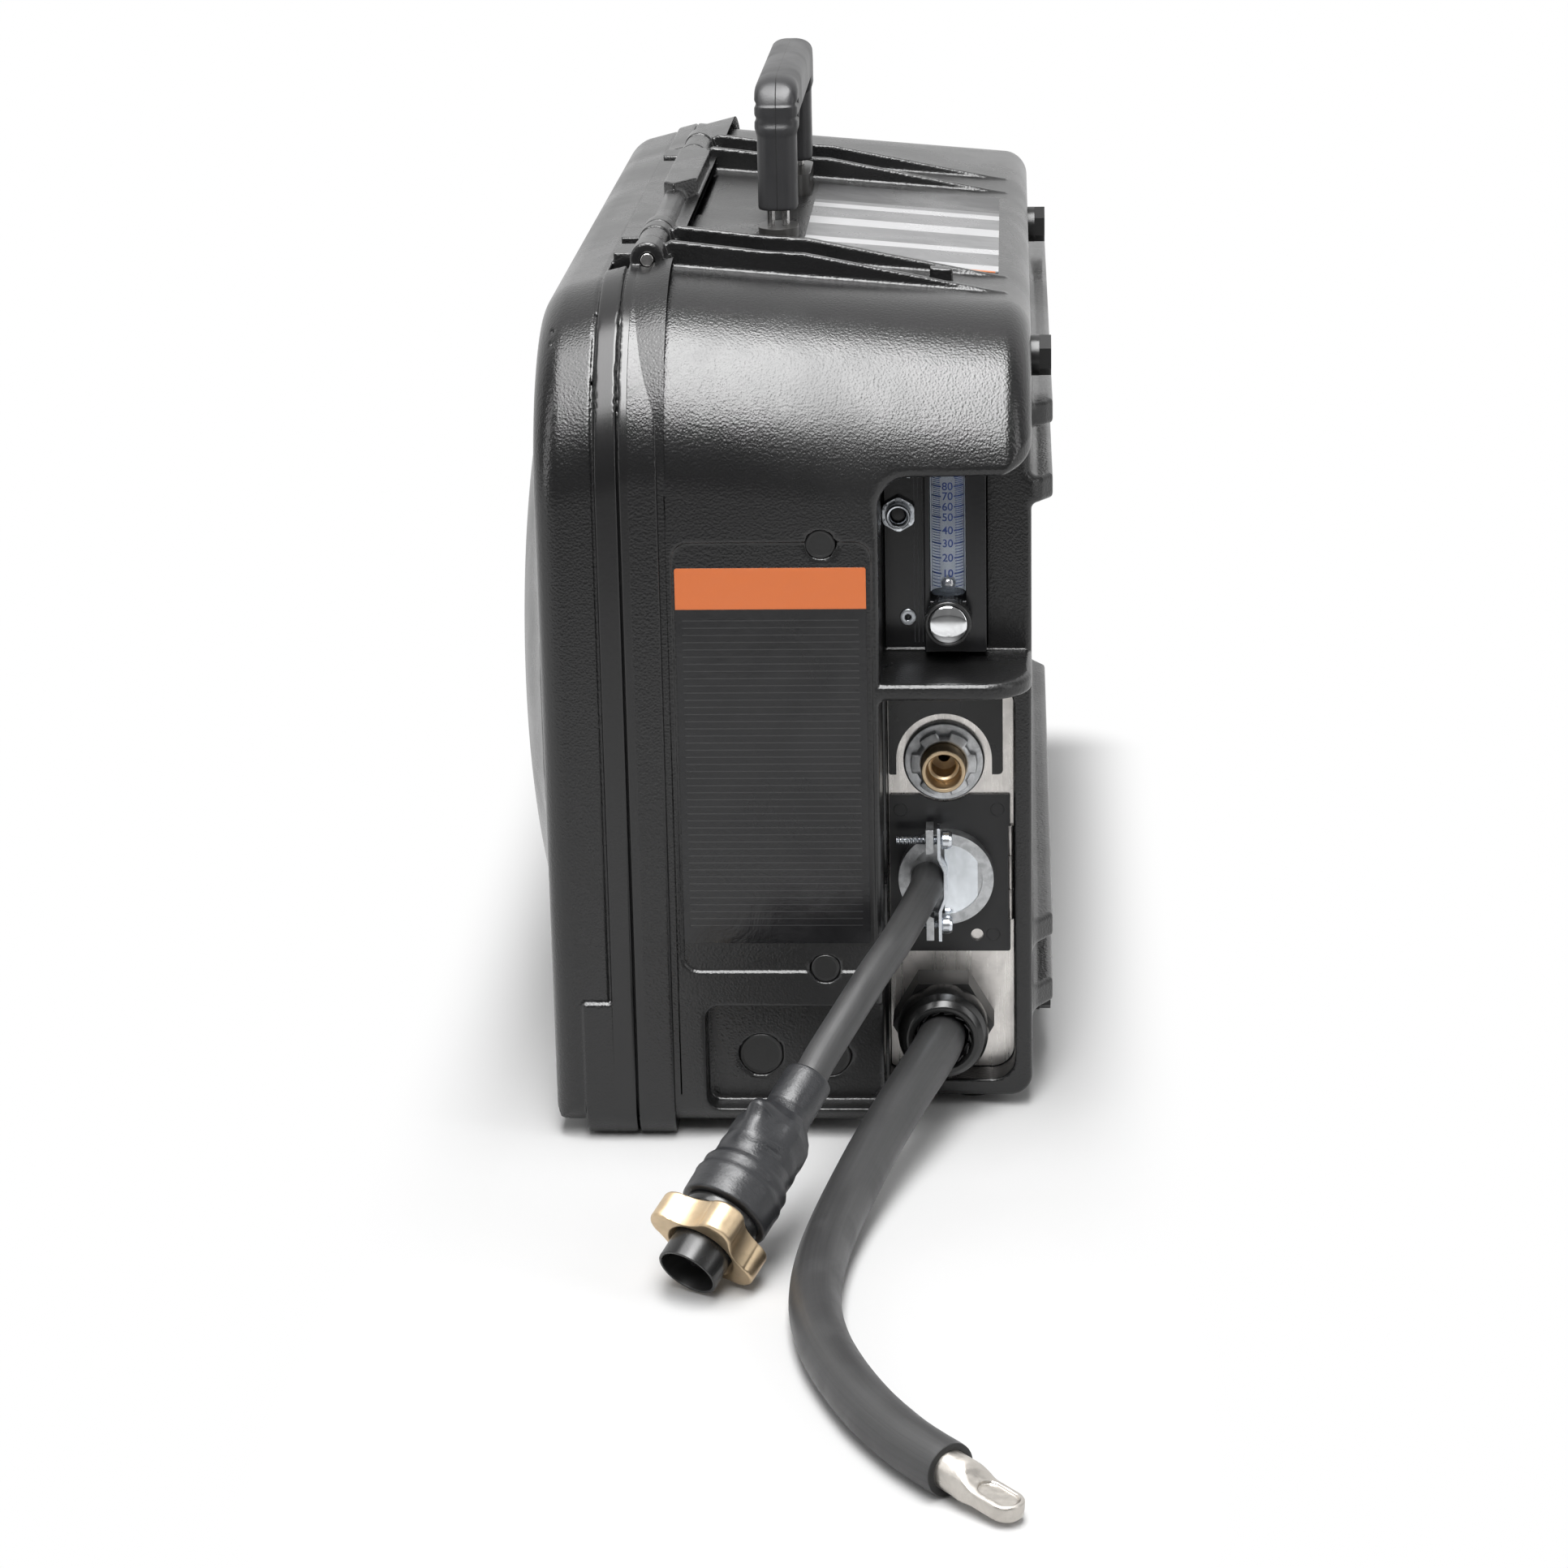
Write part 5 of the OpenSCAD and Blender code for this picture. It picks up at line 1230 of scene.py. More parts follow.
def door_knuckles(clay):
    """Barrels on their webs; the long one between the two hinges is thinner in the middle."""
    for a, b in DOOR_KNUCKLES:
        def knuckle(x, y, z):
            web = np.maximum(slab(x, -8, 8), slab(z, 360.2, 367.2))
            inner = np.maximum(disc(x, z, *HINGE, 5.2), slab(y, a, b))
            barrel = np.minimum(disc(x, z, *HINGE, 7.4 if b - a > 50 else 6.9), web)
            ends = round_and(barrel, np.maximum(slab(y, a, b), -slab(y, a + 13, b - 13)), 1.3)
            return np.minimum(np.minimum(inner, ends), np.maximum(web, slab(y, a, b)))
        clay.add((-10, a, 355), (18, b, 376), knuckle, 1.0)


def door_body():
    """The door: its own outline and tilt, the bulge, rim, pad, knuckles, stop, latch seat and seal groove."""
    xs = lines(-61, 19, 2.0, 0.75, [(-48, -45), (-38, -34), (-24, -21), (-11, 0), (2, 17)])
    ys = lines(-4, 568, 2.1, 0.75, [
        (0, 3), 78, 96, 119, 134, (222, 240), (316, 330), 346, 361, 382, 400, 470, 534, (560, 564), (366, 397),
    ])
    zs = lines(-4, 382, 2.1, 0.75, [(0, 8), (28, 61), 63, 240, 320, (356, 377)])
    clay = Clay(xs, ys, zs)
    all_of = ((-61, -4, -4), (19, 568, 382))
    stop_plan = [(3, 229), (8, 223), (17.6, 239), (17.6, 319), (15, 329), (3, 329)]

    def outside(x, y, z):
        return door_outside(x, y, z, PROUD, UNDERSIDE, DOOR_DEEP, GROOVE * ((x < -9.6) & (x > -11.4)))

    def rim(x, y, z):
        return round_and(flange(x, y, z, -22.5, -8, DOOR_TILT, 6, 1.5), z - 63, 1.5)

    def pad(x, y, z):
        return round_and(rect(y, z, 470, 240, 534, 320, (10,) * 4), slab(x, -45, -31), 3.0)

    def stop(x, y, z):
        return round_and(polygon(x, y, stop_plan), slab(z, 366, 376), 0.8)

    def latch_boss(x, y, z):
        return np.maximum(disc(y, z, *LATCH, 11), slab(x, -35, -14))

    def latch_seat(x, y, z):
        return np.minimum(disc(y, z, *LATCH, 5.06), np.maximum(disc(y, z, *LATCH, 17), x + 33.8))

    def seal_groove(x, y, z):
        outer = rect(y, z, 3.9, 3.9, LENGTH - 3.9, 354, (12, 28, 88, 76))
        inner = rect(y, z, 8.2, 8.2, LENGTH - 8.2, 349.7, (10, 24, 84, 72))
        return common(outer, -inner, -3.2 - x)

    clay.add(*all_of, outside)
    clay.add(*all_of, lambda x, y, z: bulge(x, y, z, 158, 21, 4), 9.0)
    clay.cut(*all_of, lambda x, y, z: door_outside(x, y, z, PROUD + 3.5, 9.0, 32.5))
    clay.cut(*all_of, lambda x, y, z: bulge(x, y, z, 152, 17.5, 5))
    clay.add(*all_of, lambda x, y, z: flange(x, y, z, -9.6, -0.3, DOOR_TILT, 7, 0.7))
    clay.add((-24, -2, -2), (-7, 566, 66), rim, 1.0)
    clay.add((-46, 468, 238), (-30, 536, 322), pad, 3.0)
    door_knuckles(clay)
    clay.add((1, 221, 367), (19, 331, 377), stop, 0.8)
    clay.add((-37, 368, 31), (-13, 394, 57), latch_boss)
    for a, b in CASE_KNUCKLES:
        clay.cut((-9, a, 357), (20, b, 380), block((-8.5, a - 0.4, 358), (30, b + 0.4, 390)), 0.5)
    clay.cut((4, 60, 362), (12, 410, 373), pin_bore)
    clay.cut((-60, 360, 24), (0, 402, 64), latch_seat, 0.8)
    clay.cut((-4, -2, -2), (0, 566, 360), seal_groove)
    return moulded("door_shell", clay, "case_black", 170000, "door", ["door"])


# ---------------------------------------------------------------- the handle


def on_handle(x, y, half, y0, y1, radius):
    """A rectangle in plan, as wide to either side of the handle's middle."""
    return rect(x, y, HANDLE_X - half, y0, HANDLE_X + half, y1, (radius,) * 4)


def handle_grip():
    """Rubber grip: two legs, thicker from the grooves up, and a bar between them with rounded shoulders."""
    clay = Clay(
        lines(45, 71, 1.1, 0.6, [(47, 69)]), lines(170, 338, 1.6, 0.6, [(173, 196), (312, 335)]),
        lines(368, 433, 1.1, 0.6, [371, (400, 431)]),
    )
    for y0 in HANDLE_Y:
        def leg(x, y, z):
            return round_and(on_handle(x, y, 8.7, y0 - 9.5, y0 + 9.5, 6), slab(z, 371, 408), 1.2)
        clay.add((45, y0 - 12, 368), (71, y0 + 12, 412), leg)

    def bar(x, y, z):
        side = rect(y, z, 174, 404, 334, 430, (0, 0, 20, 20))
        side = np.maximum(side, -rect(y, z, 194, 380, 314, 409, (0, 0, 5, 5)))
        cross = rect(x, z, HANDLE_X - 9.6, 380, HANDLE_X + 9.6, 430, (0, 0, 8, 8))
        return round_and(side, np.maximum(cross, on_handle(x, y, 9.6, 174, 334, 6)), 4.0)

    clay.add((45, 170, 400), (71, 338, 433), bar, 1.6)
    for y0, way in zip(HANDLE_Y, (1, -1)):
        for z0 in (411.4, 417.6):
            def groove(x, y, z):
                shell = np.abs(on_handle(x, y, 9.9, y0 - 10.3, y0 + 10.3, 6))
                return np.maximum(np.hypot(shell, z - z0) - 1.15, (y - y0 - 6) * way)
            clay.cut((45, y0 - 13, z0 - 3), (71, y0 + 13, z0 + 3), groove, 0.5)
        for x0 in (HANDLE_X - 3.3, HANDLE_X + 3.3):
            def rod_hole(x, y, z):
                return np.maximum(disc(x, y, x0, y0, 1.75), z - 378)
            clay.cut((x0 - 3, y0 - 3, 368), (x0 + 3, y0 + 3, 380), rod_hole, 0.4)
    return moulded("grip", clay, "grip_rubber", 70000, "case", ["handle_grip"])


# ------------------------------------------------------------- the flowmeter


def hexagon(across):
    """Keeps a turned shape inside a hexagon that is so wide across its flats."""
    def swell(turn, r, s):
        flat = across / 2 / np.cos((turn + math.pi / 6) % (math.pi / 3) - math.pi / 6)
        return np.minimum(r, flat), s
    return swell


def arc_bars(radius, spans, heights, thick, rise, steps=5):
    """Thin bars laid on the flow tube: for each height, a box bent over the span of angles."""
    verts, faces = [], []
    k = np.linspace(0, 1, steps)
    base = 0
    for (a, b), z in zip(spans, heights):
        t = a + (b - a) * k
        x, y = np.sin(t), -np.cos(t)
        rows = []
        for r, dz in ((radius, -thick), (radius + rise, -thick), (radius + rise, thick), (radius, thick)):
            rows.append(np.column_stack([FLOW[0] + r * x, FLOW[1] + r * y, np.full(steps, z + dz)]))
        verts.append(np.stack(rows, 1).reshape(-1, 3))
        for i in range(steps - 1):
            near, far = base + i * 4, base + (i + 1) * 4
            for j in range(4):
                following = (j + 1) % 4
                faces.append([near + j, near + following, far + following, far + j])
        faces.append([base, base + 1, base + 2, base + 3])
        faces.append([base + 4 * steps - 1 - j for j in range(4)])
        base += steps * 4
    return np.vstack(verts), np.array(faces)


def scale_marks(from_angle, to_angle, heights, thick, rise):
    """A mark at both sides of the tube at each height, between two angles from its front."""
    sides = [[side * math.radians(a) for a in (from_angle, to_angle)] for side in (-1, 1)]
    return arc_bars(TUBE_RADIUS, sides * len(heights), [z for z in heights for _ in sides], thick, rise)


def scale_number(k):
    """The number of one ten, bent round the front of the tube."""
    curve = bpy.data.curves.new("number", "FONT")
    curve.body = str((k + 1) * 10)
    curve.size, curve.align_x, curve.align_y = 4.7, "CENTER", "CENTER"
    curve.offset, curve.extrude = 0.07, 0.04
    mesh = copied(bpy.data.objects.new("number", curve))
    flat = np.empty(len(mesh.vertices) * 3)
    mesh.vertices.foreach_get("co", flat)
    flat = flat.reshape(-1, 3)
    turn = flat[:, 0] / 7.2
    r = 7.16 + flat[:, 2]
    solid = np.stack([FLOW[0] + r * np.sin(turn), FLOW[1] - r * np.cos(turn), SCALE[k + 1] + flat[:, 1]], 1)
    mesh.vertices.foreach_set("co", seated(solid).ravel())
    mesh.update()
    finish_piece(f"number_{(k + 1) * 10}", mesh, "scale_blue", slot="tube_clear")


def flow_scale():
    """Blue marks, closer together as they rise, an upright line at each side and the numbers 10 to 80."""
    between = [a + (b - a) * k / 5 for a, b in zip(SCALE, SCALE[1:]) for k in (1, 2, 3, 4)]
    marks = joined(
        scale_marks(22, 66, SCALE[1:], 0.32, 0.06), scale_marks(26, 62, between, 0.16, 0.05),
        scale_marks(68, 72, [264.0], 29.0, 0.05),
    )
    piece("flow_marks", marks, "scale_blue", slot="tube_clear", sharp=None)
    for k in range(8):
        scale_number(k)


def flow_tube():
    """The clear tube, with a pale backing strip bent round its back half."""
    outline = soft_corners([
        (3.8, 232.6), (3.8, 300), (TUBE_RADIUS, 300), (TUBE_RADIUS, 231.8), (0, 231.8), (0, 232.6),
    ], 0.3, 2, True)
    piece("tube", turned((*FLOW, 0), Z_AXIS, outline, 72), "tube_clear", nodes=["flowmeter_tube"])
    strip = arc_bars(7.15, [(math.radians(95), math.radians(265))], [266.0], 33.8, 0.2, 24)
    piece("tube_backing", strip, "scale_white", slot="tube_clear", sharp=30)


def flow_knob():
    """Fluted knob with a soft front rim, a grey ring and a domed bright cap."""
    profile = soft_corners([
        (0, 44.8), (3, 44.8), (3, 38), (9.8, 38), (9.8, 27.2), (9.2, 26.8), (8.2, 26.9), (8.2, 28.6), (0, 28.6),
    ], 0.5, 3)

    def flutes(turn, r, s):
        wave = 0.5 + 0.5 * np.cos(turn * 30)
        grip = np.clip((r - 8.6) / 0.8, 0, 1) * np.clip((s - 28) / 1.2, 0, 1)
        return r - 0.55 * wave**2 * grip, s

    back = (FLOW[0], 0, 222)
    knob = turned(back, Y_AXIS, profile, 240, flutes, False)
    piece("knob", knob, "knob_gloss", "flow_valve", ["flow_knob"])
    rim = 8.0
    dome = [(rim * math.sin(a), 25.5 + 1.4 * (1 - math.cos(a))) for a in np.linspace(0, math.radians(75), 12)]
    cap = soft_corners([*dome, (rim, 26.7), (rim, 28.5), (0.001, 28.5)], 0.3, 3)
    cap[0, 0] = cap[-1, 0] = 0
    cap = turned(back, Y_AXIS, cap, 96, None, False)
    piece("knob_cap", cap, "cap_chrome", "flow_valve", ["flow_knob_cap"])


def purge_fitting():
    """Chamfered hexagon nut with its round sleeve, the dark button inside and the panel's two eyelets."""
    at = (PURGE[0], 0, PURGE[1])
    nut = soft_corners([(4.2, 50), (7.9, 50), (7.9, 47.6), (7.3, 46.8), (4.2, 46.8)], 0.25, 2, True)
    sleeve = soft_corners([
        (3.9, 42.4), (4.7, 42.2), (5.2, 42.8), (5.2, 47.4), (4.15, 47.4), (4.15, 59.5), (3.45, 59.5),
        (3.45, 46.4), (3.9, 46.0),
    ], 0.25, 3, True)
    both = joined(turned(at, Y_AXIS, nut, 96, hexagon(13.4)), turned(at, Y_AXIS, sleeve, 64))
    piece("purge_hex", both, "zinc", nodes=["purge_nut"])
    button = soft_corners([(0, 46.6), (2.6, 46.6), (3.2, 47.1), (3.2, 54.5), (0, 54.5)], 0.4, 3)
    stem = turned(at, Y_AXIS, button, 48, None, False)
    piece("purge_stem", stem, "knob_gloss", "purge", ["purge_button"])
    ring = soft_corners([(1.3, 49.0), (3.5, 49.1), (3.6, 50), (1.7, 50.05), (1.7, 52), (1.3, 52)], 0.3, 3, True)
    for k, (x, z) in enumerate(((116.8, 219.2), (117.5, 283))):
        piece(f"eyelet_{k + 1}", turned((x, 0, z), Y_AXIS, ring, 48), "zinc", nodes=["panel_eyelets"])


BOX_FACES = np.array([[0, 1, 3, 2], [4, 6, 7, 5], [0, 4, 5, 1], [2, 3, 7, 6], [0, 2, 6, 4], [1, 5, 7, 3]])


def box_mesh(low, high):
    """A box by its eight corners."""
    xs, ys, zs = zip(low, high)
    return np.array([[x, y, z] for x in xs for y in ys for z in zs]), BOX_FACES


def panel_ruling():
    """Fine upright lines on the flow panel."""
    bars = [box_mesh((x0, 49.96, 208), (x0 + 0.35, 50.02, 303)) for x0 in (119.5, 121.2, 122.9, 148.9)]
    piece("panel_lines", joined(*bars), "panel_line", slot="panel_gloss", sharp=30)


# ------------------------------------------------------- the lower connectors


def thread_swell(pitch, depth, low, high, inner=1.0, outer=99.0):
    """A screw thread: between two places and two radii, the radius falls and rises along a helix."""
    def swell(turn, r, s):
        phase = (s / pitch - turn / (2 * math.pi)) % 1.0
        on = (s > low) & (s < high) & (r > inner) & (r < outer)
        return np.where(on, r - depth * np.abs(phase * 2 - 1), r), s
    return swell


def gas_fitting():
    """Zinc washer, tabbed locknut and the stepped brass inlet."""
    at = (INLET[0], 0, INLET[1])
    washer = soft_corners([(9.8, 55), (9.8, 52), (10.6, 51.6), (16.7, 51.8), (17.4, 52.6), (17.5, 55)], 0.4, 3, True)
    washer = turned(at, Y_AXIS, washer, 96)
    piece("inlet_washer", washer, "cast_zinc", nodes=["inlet_ring"], slot="zinc")
    nut = soft_corners([(9.7, 51.4), (9.7, 47.7), (10.5, 47.5), (12.2, 47.9), (14.2, 48.2), (14.4, 51.4)], 0.4, 3, True)

    def tabs(turn, r, s):
        wave = np.clip((np.cos(turn * 6) + 0.55) * 3, 0, 1)
        reach = np.where(r > 11.5, 11.9 + (r - 11.9) * (0.12 + 0.88 * wave), r)
        return reach, s + np.where(r > 12, 0.5 * (1 - wave), 0)

    nut = turned(at, Y_AXIS, nut, 180, tabs)
    piece("inlet_nut", nut, "cast_zinc", nodes=["inlet_locknut"], slot="zinc")
    brass = fine_profile(soft_corners([
        (2.5, 84), (2.5, 60), (5.9, 59.8), (5.9, 52), (5.1, 50.5), (5.1, 46.5), (6.6, 45.6), (7.25, 47), (7.25, 38),
        (7.8, 37), (9.1, 37), (9.5, 37.6), (9.5, 61), (12.2, 61), (12.2, 71), (5, 71), (5, 84),
    ], 0.3, 2, True), 0.45)
    brass = turned(at, Y_AXIS, brass, 96, thread_swell(1.4, 0.35, 38, 60, 9.4, 9.6))
    piece("inlet_brass", brass, "brass", nodes=["gas_inlet"])


def clamp_fittings():
    """Two screws with threads and slotted pan heads through the ears of the cable clamp."""
    shank = fine_profile(soft_corners([
        (0, -21.5), (1.5, -21.5), (2.0, -21), (2.0, -1.7), (3.6, -1.7), (4.0, -1.2), (4.0, 1.4), (3.3, 2.7), (0, 3.0),
    ], 0.3, 3), 0.2, False)
    shank[0, 0] = shank[-1, 0] = 0
    for k, dz in enumerate((19.2, -19.2)):
        at = (CLAMP[0], 42, CLAMP[1] + dz)
        body = turned(at, X_AXIS, shank, 40, thread_swell(0.9, 0.38, -21, -2), False)
        piece(f"clamp_screw_{k + 1}", body, "zinc", nodes=["clamp_screws"])


def gland_dome():
    """Glossy dome nut of the gland, rolled in to a round mouth, and the thin claws inside that hold the cable."""
    at = (GLAND[0], 37, GLAND[1])
    cap = soft_corners([
        (16.2, 0), (19.6, 0), (19.6, 8), (19.2, 12.2), (17.6, 16.2), (15.2, 18.4), (12.9, 18.4), (12.3, 16.8),
        (12.4, 12), (16.2, 11.8),
    ], 1.8, 5, True)
    piece("gland_dome", turned(at, (0, -1, 0), cap, 120), "gland_gloss", nodes=["gland_cap"])
    claws = []
    count, core = 14, np.array([GLAND[0], 0, GLAND[1]])
    for k in range(count):
        a = 2 * math.pi * k / count
        side = np.array([math.cos(a), 0, math.sin(a)])
        over = np.array([-math.sin(a), 0, math.cos(a)])
        rim = []
        for y, r, w in ((26.5, 12.2, 2.3), (20.6, 11.5, 1.9)):
            for dr in (0.0, 0.7):
                for way in (-1, 1):
                    spot = core + side * (r + dr * 0.8) + over * way * w
                    rim.append(spot + side * (-0.5 * way) + np.array([0, y, 0]))
        claws.append((np.array(rim), BOX_FACES))
    piece("gland_claws", joined(*claws), "plug_black", slot="gland_black", sharp=30)


def clamp_plate():
    """Bright flat pressure plate: the part of a disc right of the strap, cut straight at its far side."""
    edge = [(CLAMP[0] - 0.6, CLAMP[1] - 15.9)]
    for a in np.linspace(-1.5, 1.5, 25):
        edge.append((min(CLAMP[0] + 16 * math.cos(a), CLAMP[0] + 13.6), CLAMP[1] + 16 * math.sin(a)))
    edge.append((CLAMP[0] - 0.6, CLAMP[1] + 15.9))
    n = len(edge)
    verts = np.array([(x, y, z) for y in (46.6, 47.4) for x, z in edge])
    sides = [[i, (i + 1) % n, (i + 1) % n + n, i + n] for i in range(n)]
    mesh = bpy.data.meshes.new("clamp_plate")
    mesh.from_pydata(seated(verts).tolist(), [], [*sides, list(range(n))[::-1], list(range(n, 2 * n))])
    work = bmesh.new()
    work.from_mesh(mesh)
    bmesh.ops.recalc_face_normals(work, faces=work.faces)
    work.to_mesh(mesh)
    work.free()
    finish_piece("clamp_plate", mesh, "bright_zinc", slot="zinc", sharp=30)


def plate_marks():
    """Three faint moulded rings on the black cover plate and the three curls of its rolled edge."""
    ring = soft_corners([(2.5, 0), (3.1, 0), (3.05, 0.16), (2.55, 0.16)], 0.05, 1, True)
    rings = [turned((x, 53.55, z), (0, -1, 0), ring, 40) for x, z in ((112.6, 132), (154.2, 132), (152.2, 75.2))]
    piece("plate_rings", joined(*rings), "plate_black", slot="plate_black", sharp=40)
    curls = []
    for low, high in ((82.2, 95.6), (95.9, 111), (111.3, 124.8)):
        tall = high - low
        curl = soft_corners([(0, 0), (1.2, 0), (1.2, tall), (0, tall)], 0.2, 2)
        curls.append(turned((159.9, 54.1, low), Z_AXIS, curl, 24, None, False))
    piece("rolled_edge", joined(*curls), "panel_steel", slot="plate_black", sharp=40)


def spare_plugs():
    """Round blanking plugs with softened rims, two of them shallow cups."""
    for k, (x, z, r, face) in enumerate(ROUND_PLUGS):
        edge = r - 0.05
        profile = soft_corners([
            (0, face + 4), (edge, face + 4), (edge, face + 0.2), (edge - 0.5, face - 0.25),
            (edge - 1.5, face + 0.05), (0, face + 0.1),
        ], 0.35, 3)
        profile[0, 0] = profile[-1, 0] = 0
        plug = turned((x, 0, z), Y_AXIS, profile, 72, None, False)
        piece(f"round_plug_{k + 1}", plug, "plug_black", nodes=["hole_plugs"])


SOFT_EDGES = {
    "door_seal": 0.3, "hinge_pins": 0.5, "latch_knob": 1.0, "feet": 1.0, "side_bolts": 0.7, "handle_rod": 0.02,
    "handle_sockets": 0.7, "rear_label": 0.05, "top_label": 0.05, "flow_panel": 0.15, "flowmeter_body": 0.6,
    "flowmeter_ball": 0.02, "steel_panel": 0.2, "panel_decal": 0.05, "cover_plate": 0.3, "clamp_body": 0.6,
    "clamp_strap": 0.3, "gland_body": 0.5, "chassis_plate": 0.3, "spool_spindle": 0.8, "spindle_knob": 1.0,
    "drive_motor": 1.2, "gearbox": 1.0, "drive_roll": 0.3, "idle_roll": 0.5, "pressure_arm": 0.5, "pressure_knob": 1.2,
    "gas_valve": 0.8, "gas_hose": 0.02, "control_board": 0.2, "front_panel": 0.2, "speed_knob": 1.0, "volt_knob": 1.0,
    "power_switch": 0.02, "gun_socket": 0.8,
}


def soften_the_rest():
    """Every other solid keeps its shape and gets its finish and broken edges."""
    slots = {row["node"]: row["material_slot"] for row in frame["record"]["subparts"]}
    for node, width in SOFT_EDGES.items():
        finish = "cast_zinc" if node == "clamp_body" else slots[node]
        softened(node, finish, width, 3 if width >= 0.6 else 2, slots[node])


# ---------------------------------------------------------------- the add-on


class FeederSettings(bpy.types.PropertyGroup):
    """Sizes, colours and light of the feeder."""

    case_colour: bpy.props.FloatVectorProperty(
        name="Case Colour", description="Colour of the moulded case and door", subtype="COLOR",
        default=(0.0075, 0.0075, 0.0078), min=0.0, max=1.0,
    )
    case_roughness: bpy.props.FloatProperty(
        name="Case Roughness", description="How dull the grained faces are", subtype="FACTOR",
        default=0.27, min=0.1, max=1.0,
    )
    grain_pitch: bpy.props.FloatProperty(
        name="Grain Pitch", description="Cells of the leather grain in each metre",
        default=1000.0, min=200.0, max=3000.0,
    )
    brass_colour: bpy.props.FloatVectorProperty(
        name="Brass Colour", description="Colour of the nut on the plug and of the gas inlet", subtype="COLOR",
        default=(0.64, 0.5, 0.33), min=0.0, max=1.0,
    )


class StageSettings(bpy.types.PropertyGroup):
    """Camera and light."""

    lens: bpy.props.FloatProperty(
        name="Focal Length", description="Focal length of the camera in millimetres",
        default=93.17, min=20.0, max=300.0,
    )
    top_light: bpy.props.FloatProperty(
        name="Top Light", description="Power of the long softbox overhead, from the roof to past the camera",
        default=61.0, min=0.0, unit="POWER",
    )
    card_light: bpy.props.FloatProperty(
        name="Card", description="Power of the wide card that only gloss shows",
        default=112.0, min=0.0, unit="POWER",
    )
    side_light: bpy.props.FloatProperty(
        name="Side Light", description="Power of each of the two upright softboxes",
        default=7.0, min=0.0, unit="POWER",
    )
    room: bpy.props.FloatProperty(
        name="Room Light", description="Level of the white room round the object",
        default=0.2, min=0.0, max=2.0,
    )


class FEEDER_OT_stage(bpy.types.Operator):
    """Sets up the camera, the white floor, the room and the softboxes"""

    bl_idname = "feeder.stage"
    bl_label = "Stage"
    bl_options = {"REGISTER", "UNDO"}

    def execute(self, context):
        stage = context.scene.feeder_stage
        stage_camera(stage)
        white_floor()
        room_light(stage.room)
        softbox("long_box", (0.0, -1.4, 2.0), (0.0, -1.4001, 0.0), (0.75, 2.7), stage.top_light)
        softbox("sky_card", (-0.35, -1.4, 2.05), (-0.35, -1.4001, 0.0), (1.9, 2.7), stage.card_light, True)
        for name, x in (("left_box", -1.7), ("right_box", 1.7)):
            softbox(name, (x, -1.0, 0.9), (0, 0, 0.25), (0.4, 1.6), stage.side_light)
        context.scene.view_settings.view_transform = "Standard"
        return {"FINISHED"}


class FEEDER_OT_cables(bpy.types.Operator):
    """Lays the power cable with its lug and the control cable with its plug"""

    bl_idname = "feeder.cables"
    bl_label = "Cables"
    bl_options = {"REGISTER", "UNDO"}

    def execute(self, context):
        FINISH.update(make_finishes(context.scene.feeder))
        make_cables()
        return {"FINISHED"}


class FEEDER_OT_case(bpy.types.Operator):
    """Moulds the case with its pockets, ribs, knuckles and rails"""

    bl_idname = "feeder.case"
    bl_label = "Case"
    bl_options = {"REGISTER", "UNDO"}

    def execute(self, context):
        case_body()
        spare_plugs()
        return {"FINISHED"}


class FEEDER_OT_door(bpy.types.Operator):
    """Moulds the door with its round bulge, pads and knuckles"""

    bl_idname = "feeder.door"
    bl_label = "Door"
    bl_options = {"REGISTER", "UNDO"}

    def execute(self, context):
        door_body()
        return {"FINISHED"}


class FEEDER_OT_handle(bpy.types.Operator):
    """Moulds the rubber grip of the handle"""

    bl_idname = "feeder.handle"
    bl_label = "Handle"
    bl_options = {"REGISTER", "UNDO"}

    def execute(self, context):
        handle_grip()
        return {"FINISHED"}


class FEEDER_OT_flowmeter(bpy.types.Operator):
    """Makes the tube with its scale, the knob, the purge fitting and the eyelets"""

    bl_idname = "feeder.flowmeter"
    bl_label = "Flowmeter"
    bl_options = {"REGISTER", "UNDO"}

    def execute(self, context):
        flow_tube()
        flow_scale()
        flow_knob()
        purge_fitting()
        panel_ruling()
        return {"FINISHED"}


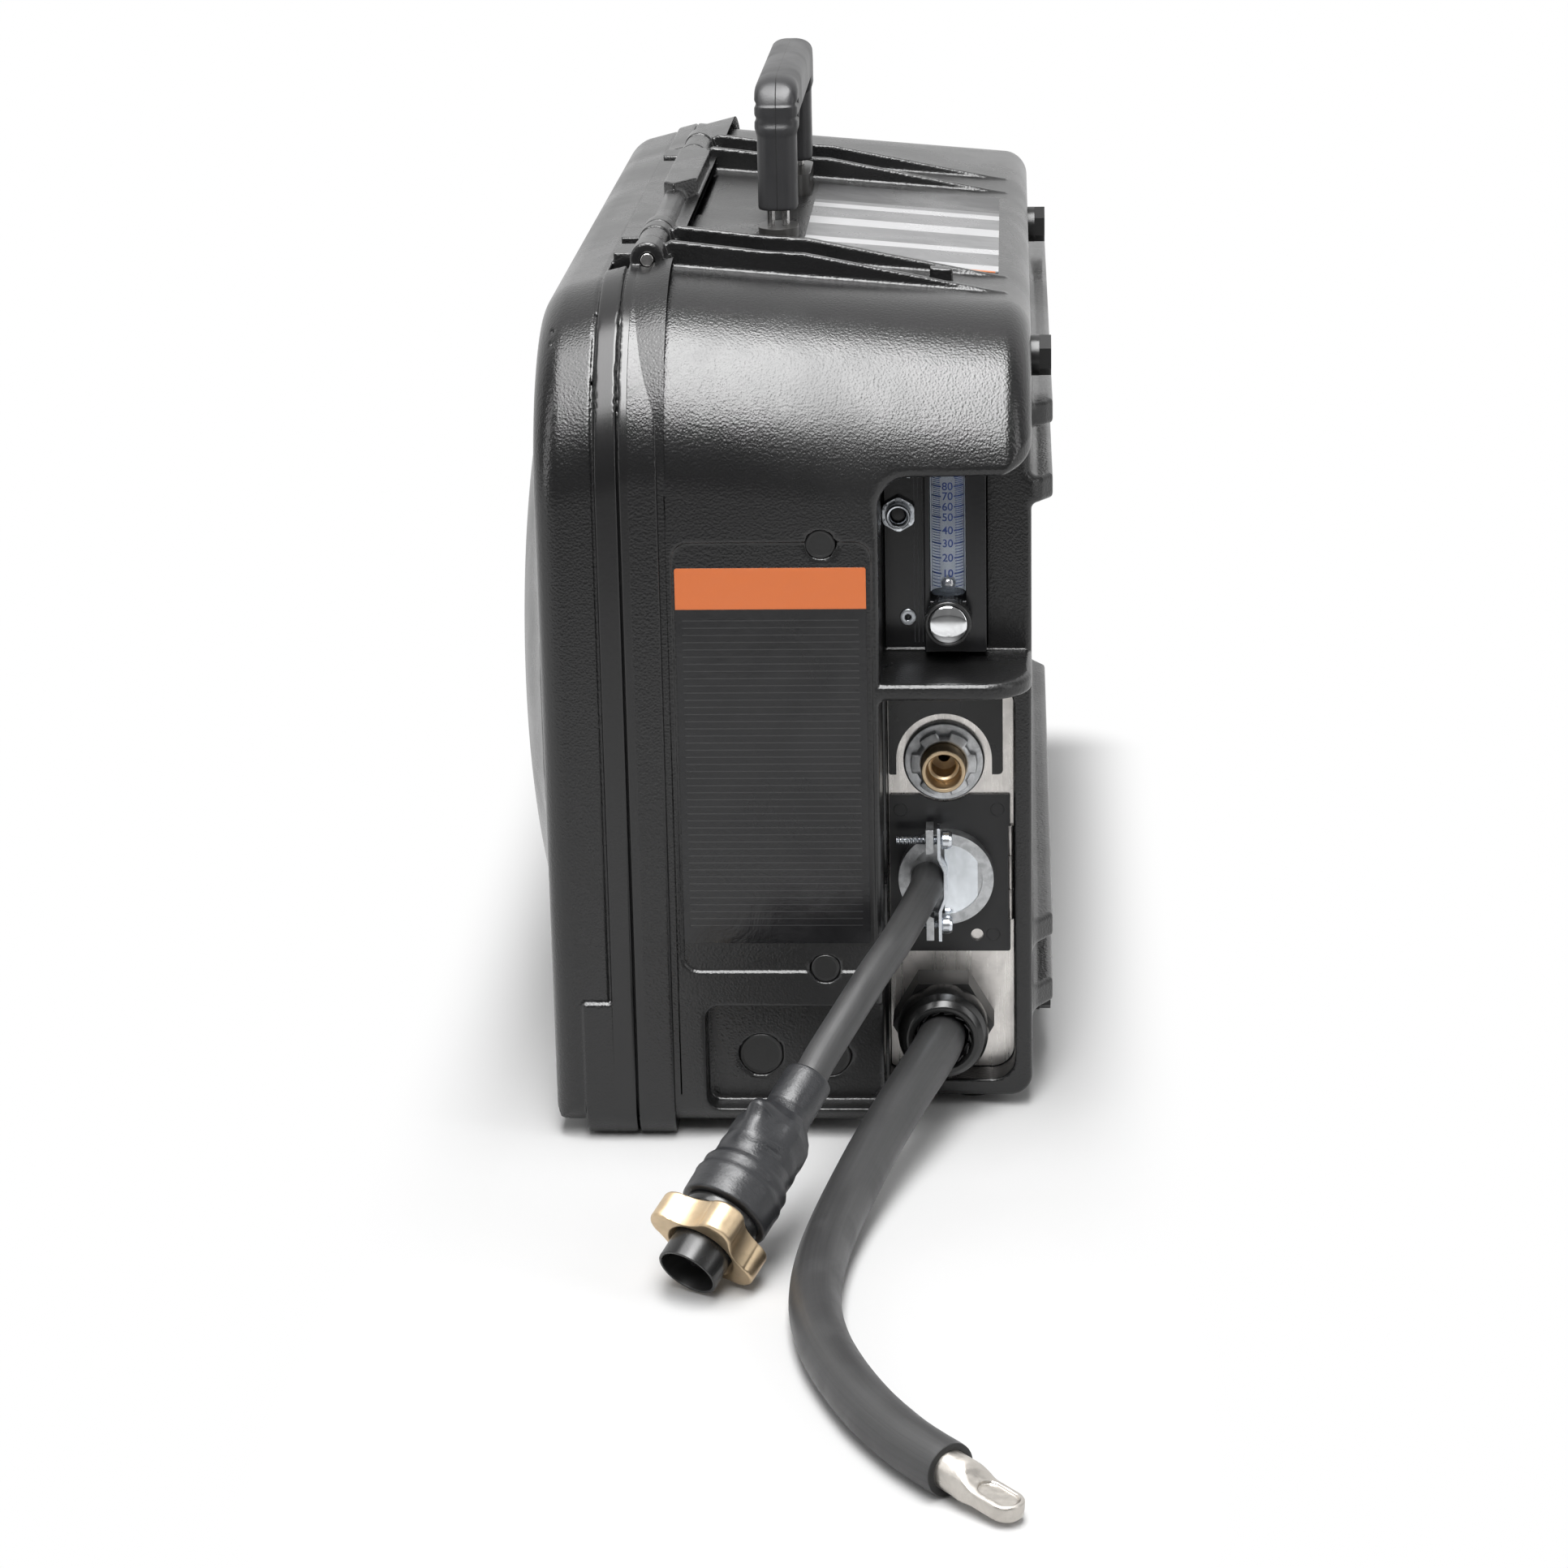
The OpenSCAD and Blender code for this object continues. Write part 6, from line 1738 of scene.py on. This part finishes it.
class FEEDER_OT_connectors(bpy.types.Operator):
    """Makes the gas inlet, the clamp's screws and the gland's dome nut"""

    bl_idname = "feeder.connectors"
    bl_label = "Connectors"
    bl_options = {"REGISTER", "UNDO"}

    def execute(self, context):
        gas_fitting()
        clamp_fittings()
        clamp_plate()
        plate_marks()
        gland_dome()
        return {"FINISHED"}


class FEEDER_OT_fittings(bpy.types.Operator):
    """Gives every other solid its finish and broken edges"""

    bl_idname = "feeder.fittings"
    bl_label = "Other Fittings"
    bl_options = {"REGISTER", "UNDO"}

    def execute(self, context):
        soften_the_rest()
        return {"FINISHED"}


STEPS = (
    FEEDER_OT_stage, FEEDER_OT_cables, FEEDER_OT_case, FEEDER_OT_door, FEEDER_OT_handle, FEEDER_OT_flowmeter,
    FEEDER_OT_connectors, FEEDER_OT_fittings,
)


class FEEDER_PT_panel(bpy.types.Panel):
    """Settings and making steps of the feeder"""

    bl_idname = "FEEDER_PT_panel"
    bl_label = "Suitcase Wire Feeder"
    bl_space_type = "VIEW_3D"
    bl_region_type = "UI"
    bl_category = "Feeder"

    def draw(self, context):
        column = self.layout.column()
        for group in (context.scene.feeder, context.scene.feeder_stage):
            for name in group.__annotations__:
                column.prop(group, name)
        for step in STEPS:
            column.operator(step.bl_idname)


CLASSES = (FeederSettings, StageSettings, *STEPS, FEEDER_PT_panel)


def register():
    for item in CLASSES:
        bpy.utils.register_class(item)
    bpy.types.Scene.feeder = bpy.props.PointerProperty(type=FeederSettings)
    bpy.types.Scene.feeder_stage = bpy.props.PointerProperty(type=StageSettings)


def unregister():
    del bpy.types.Scene.feeder_stage
    del bpy.types.Scene.feeder
    for item in reversed(CLASSES):
        bpy.utils.unregister_class(item)


def main():
    """Registers the add-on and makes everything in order."""
    register()
    for step in STEPS:
        group, name = step.bl_idname.split(".")
        result = getattr(getattr(bpy.ops, group), name)()
        if result != {"FINISHED"}:
            raise RuntimeError(f"{step.bl_idname} did not finish")
    bpy.context.view_layer.update()


if __name__ == "__main__":
    main()
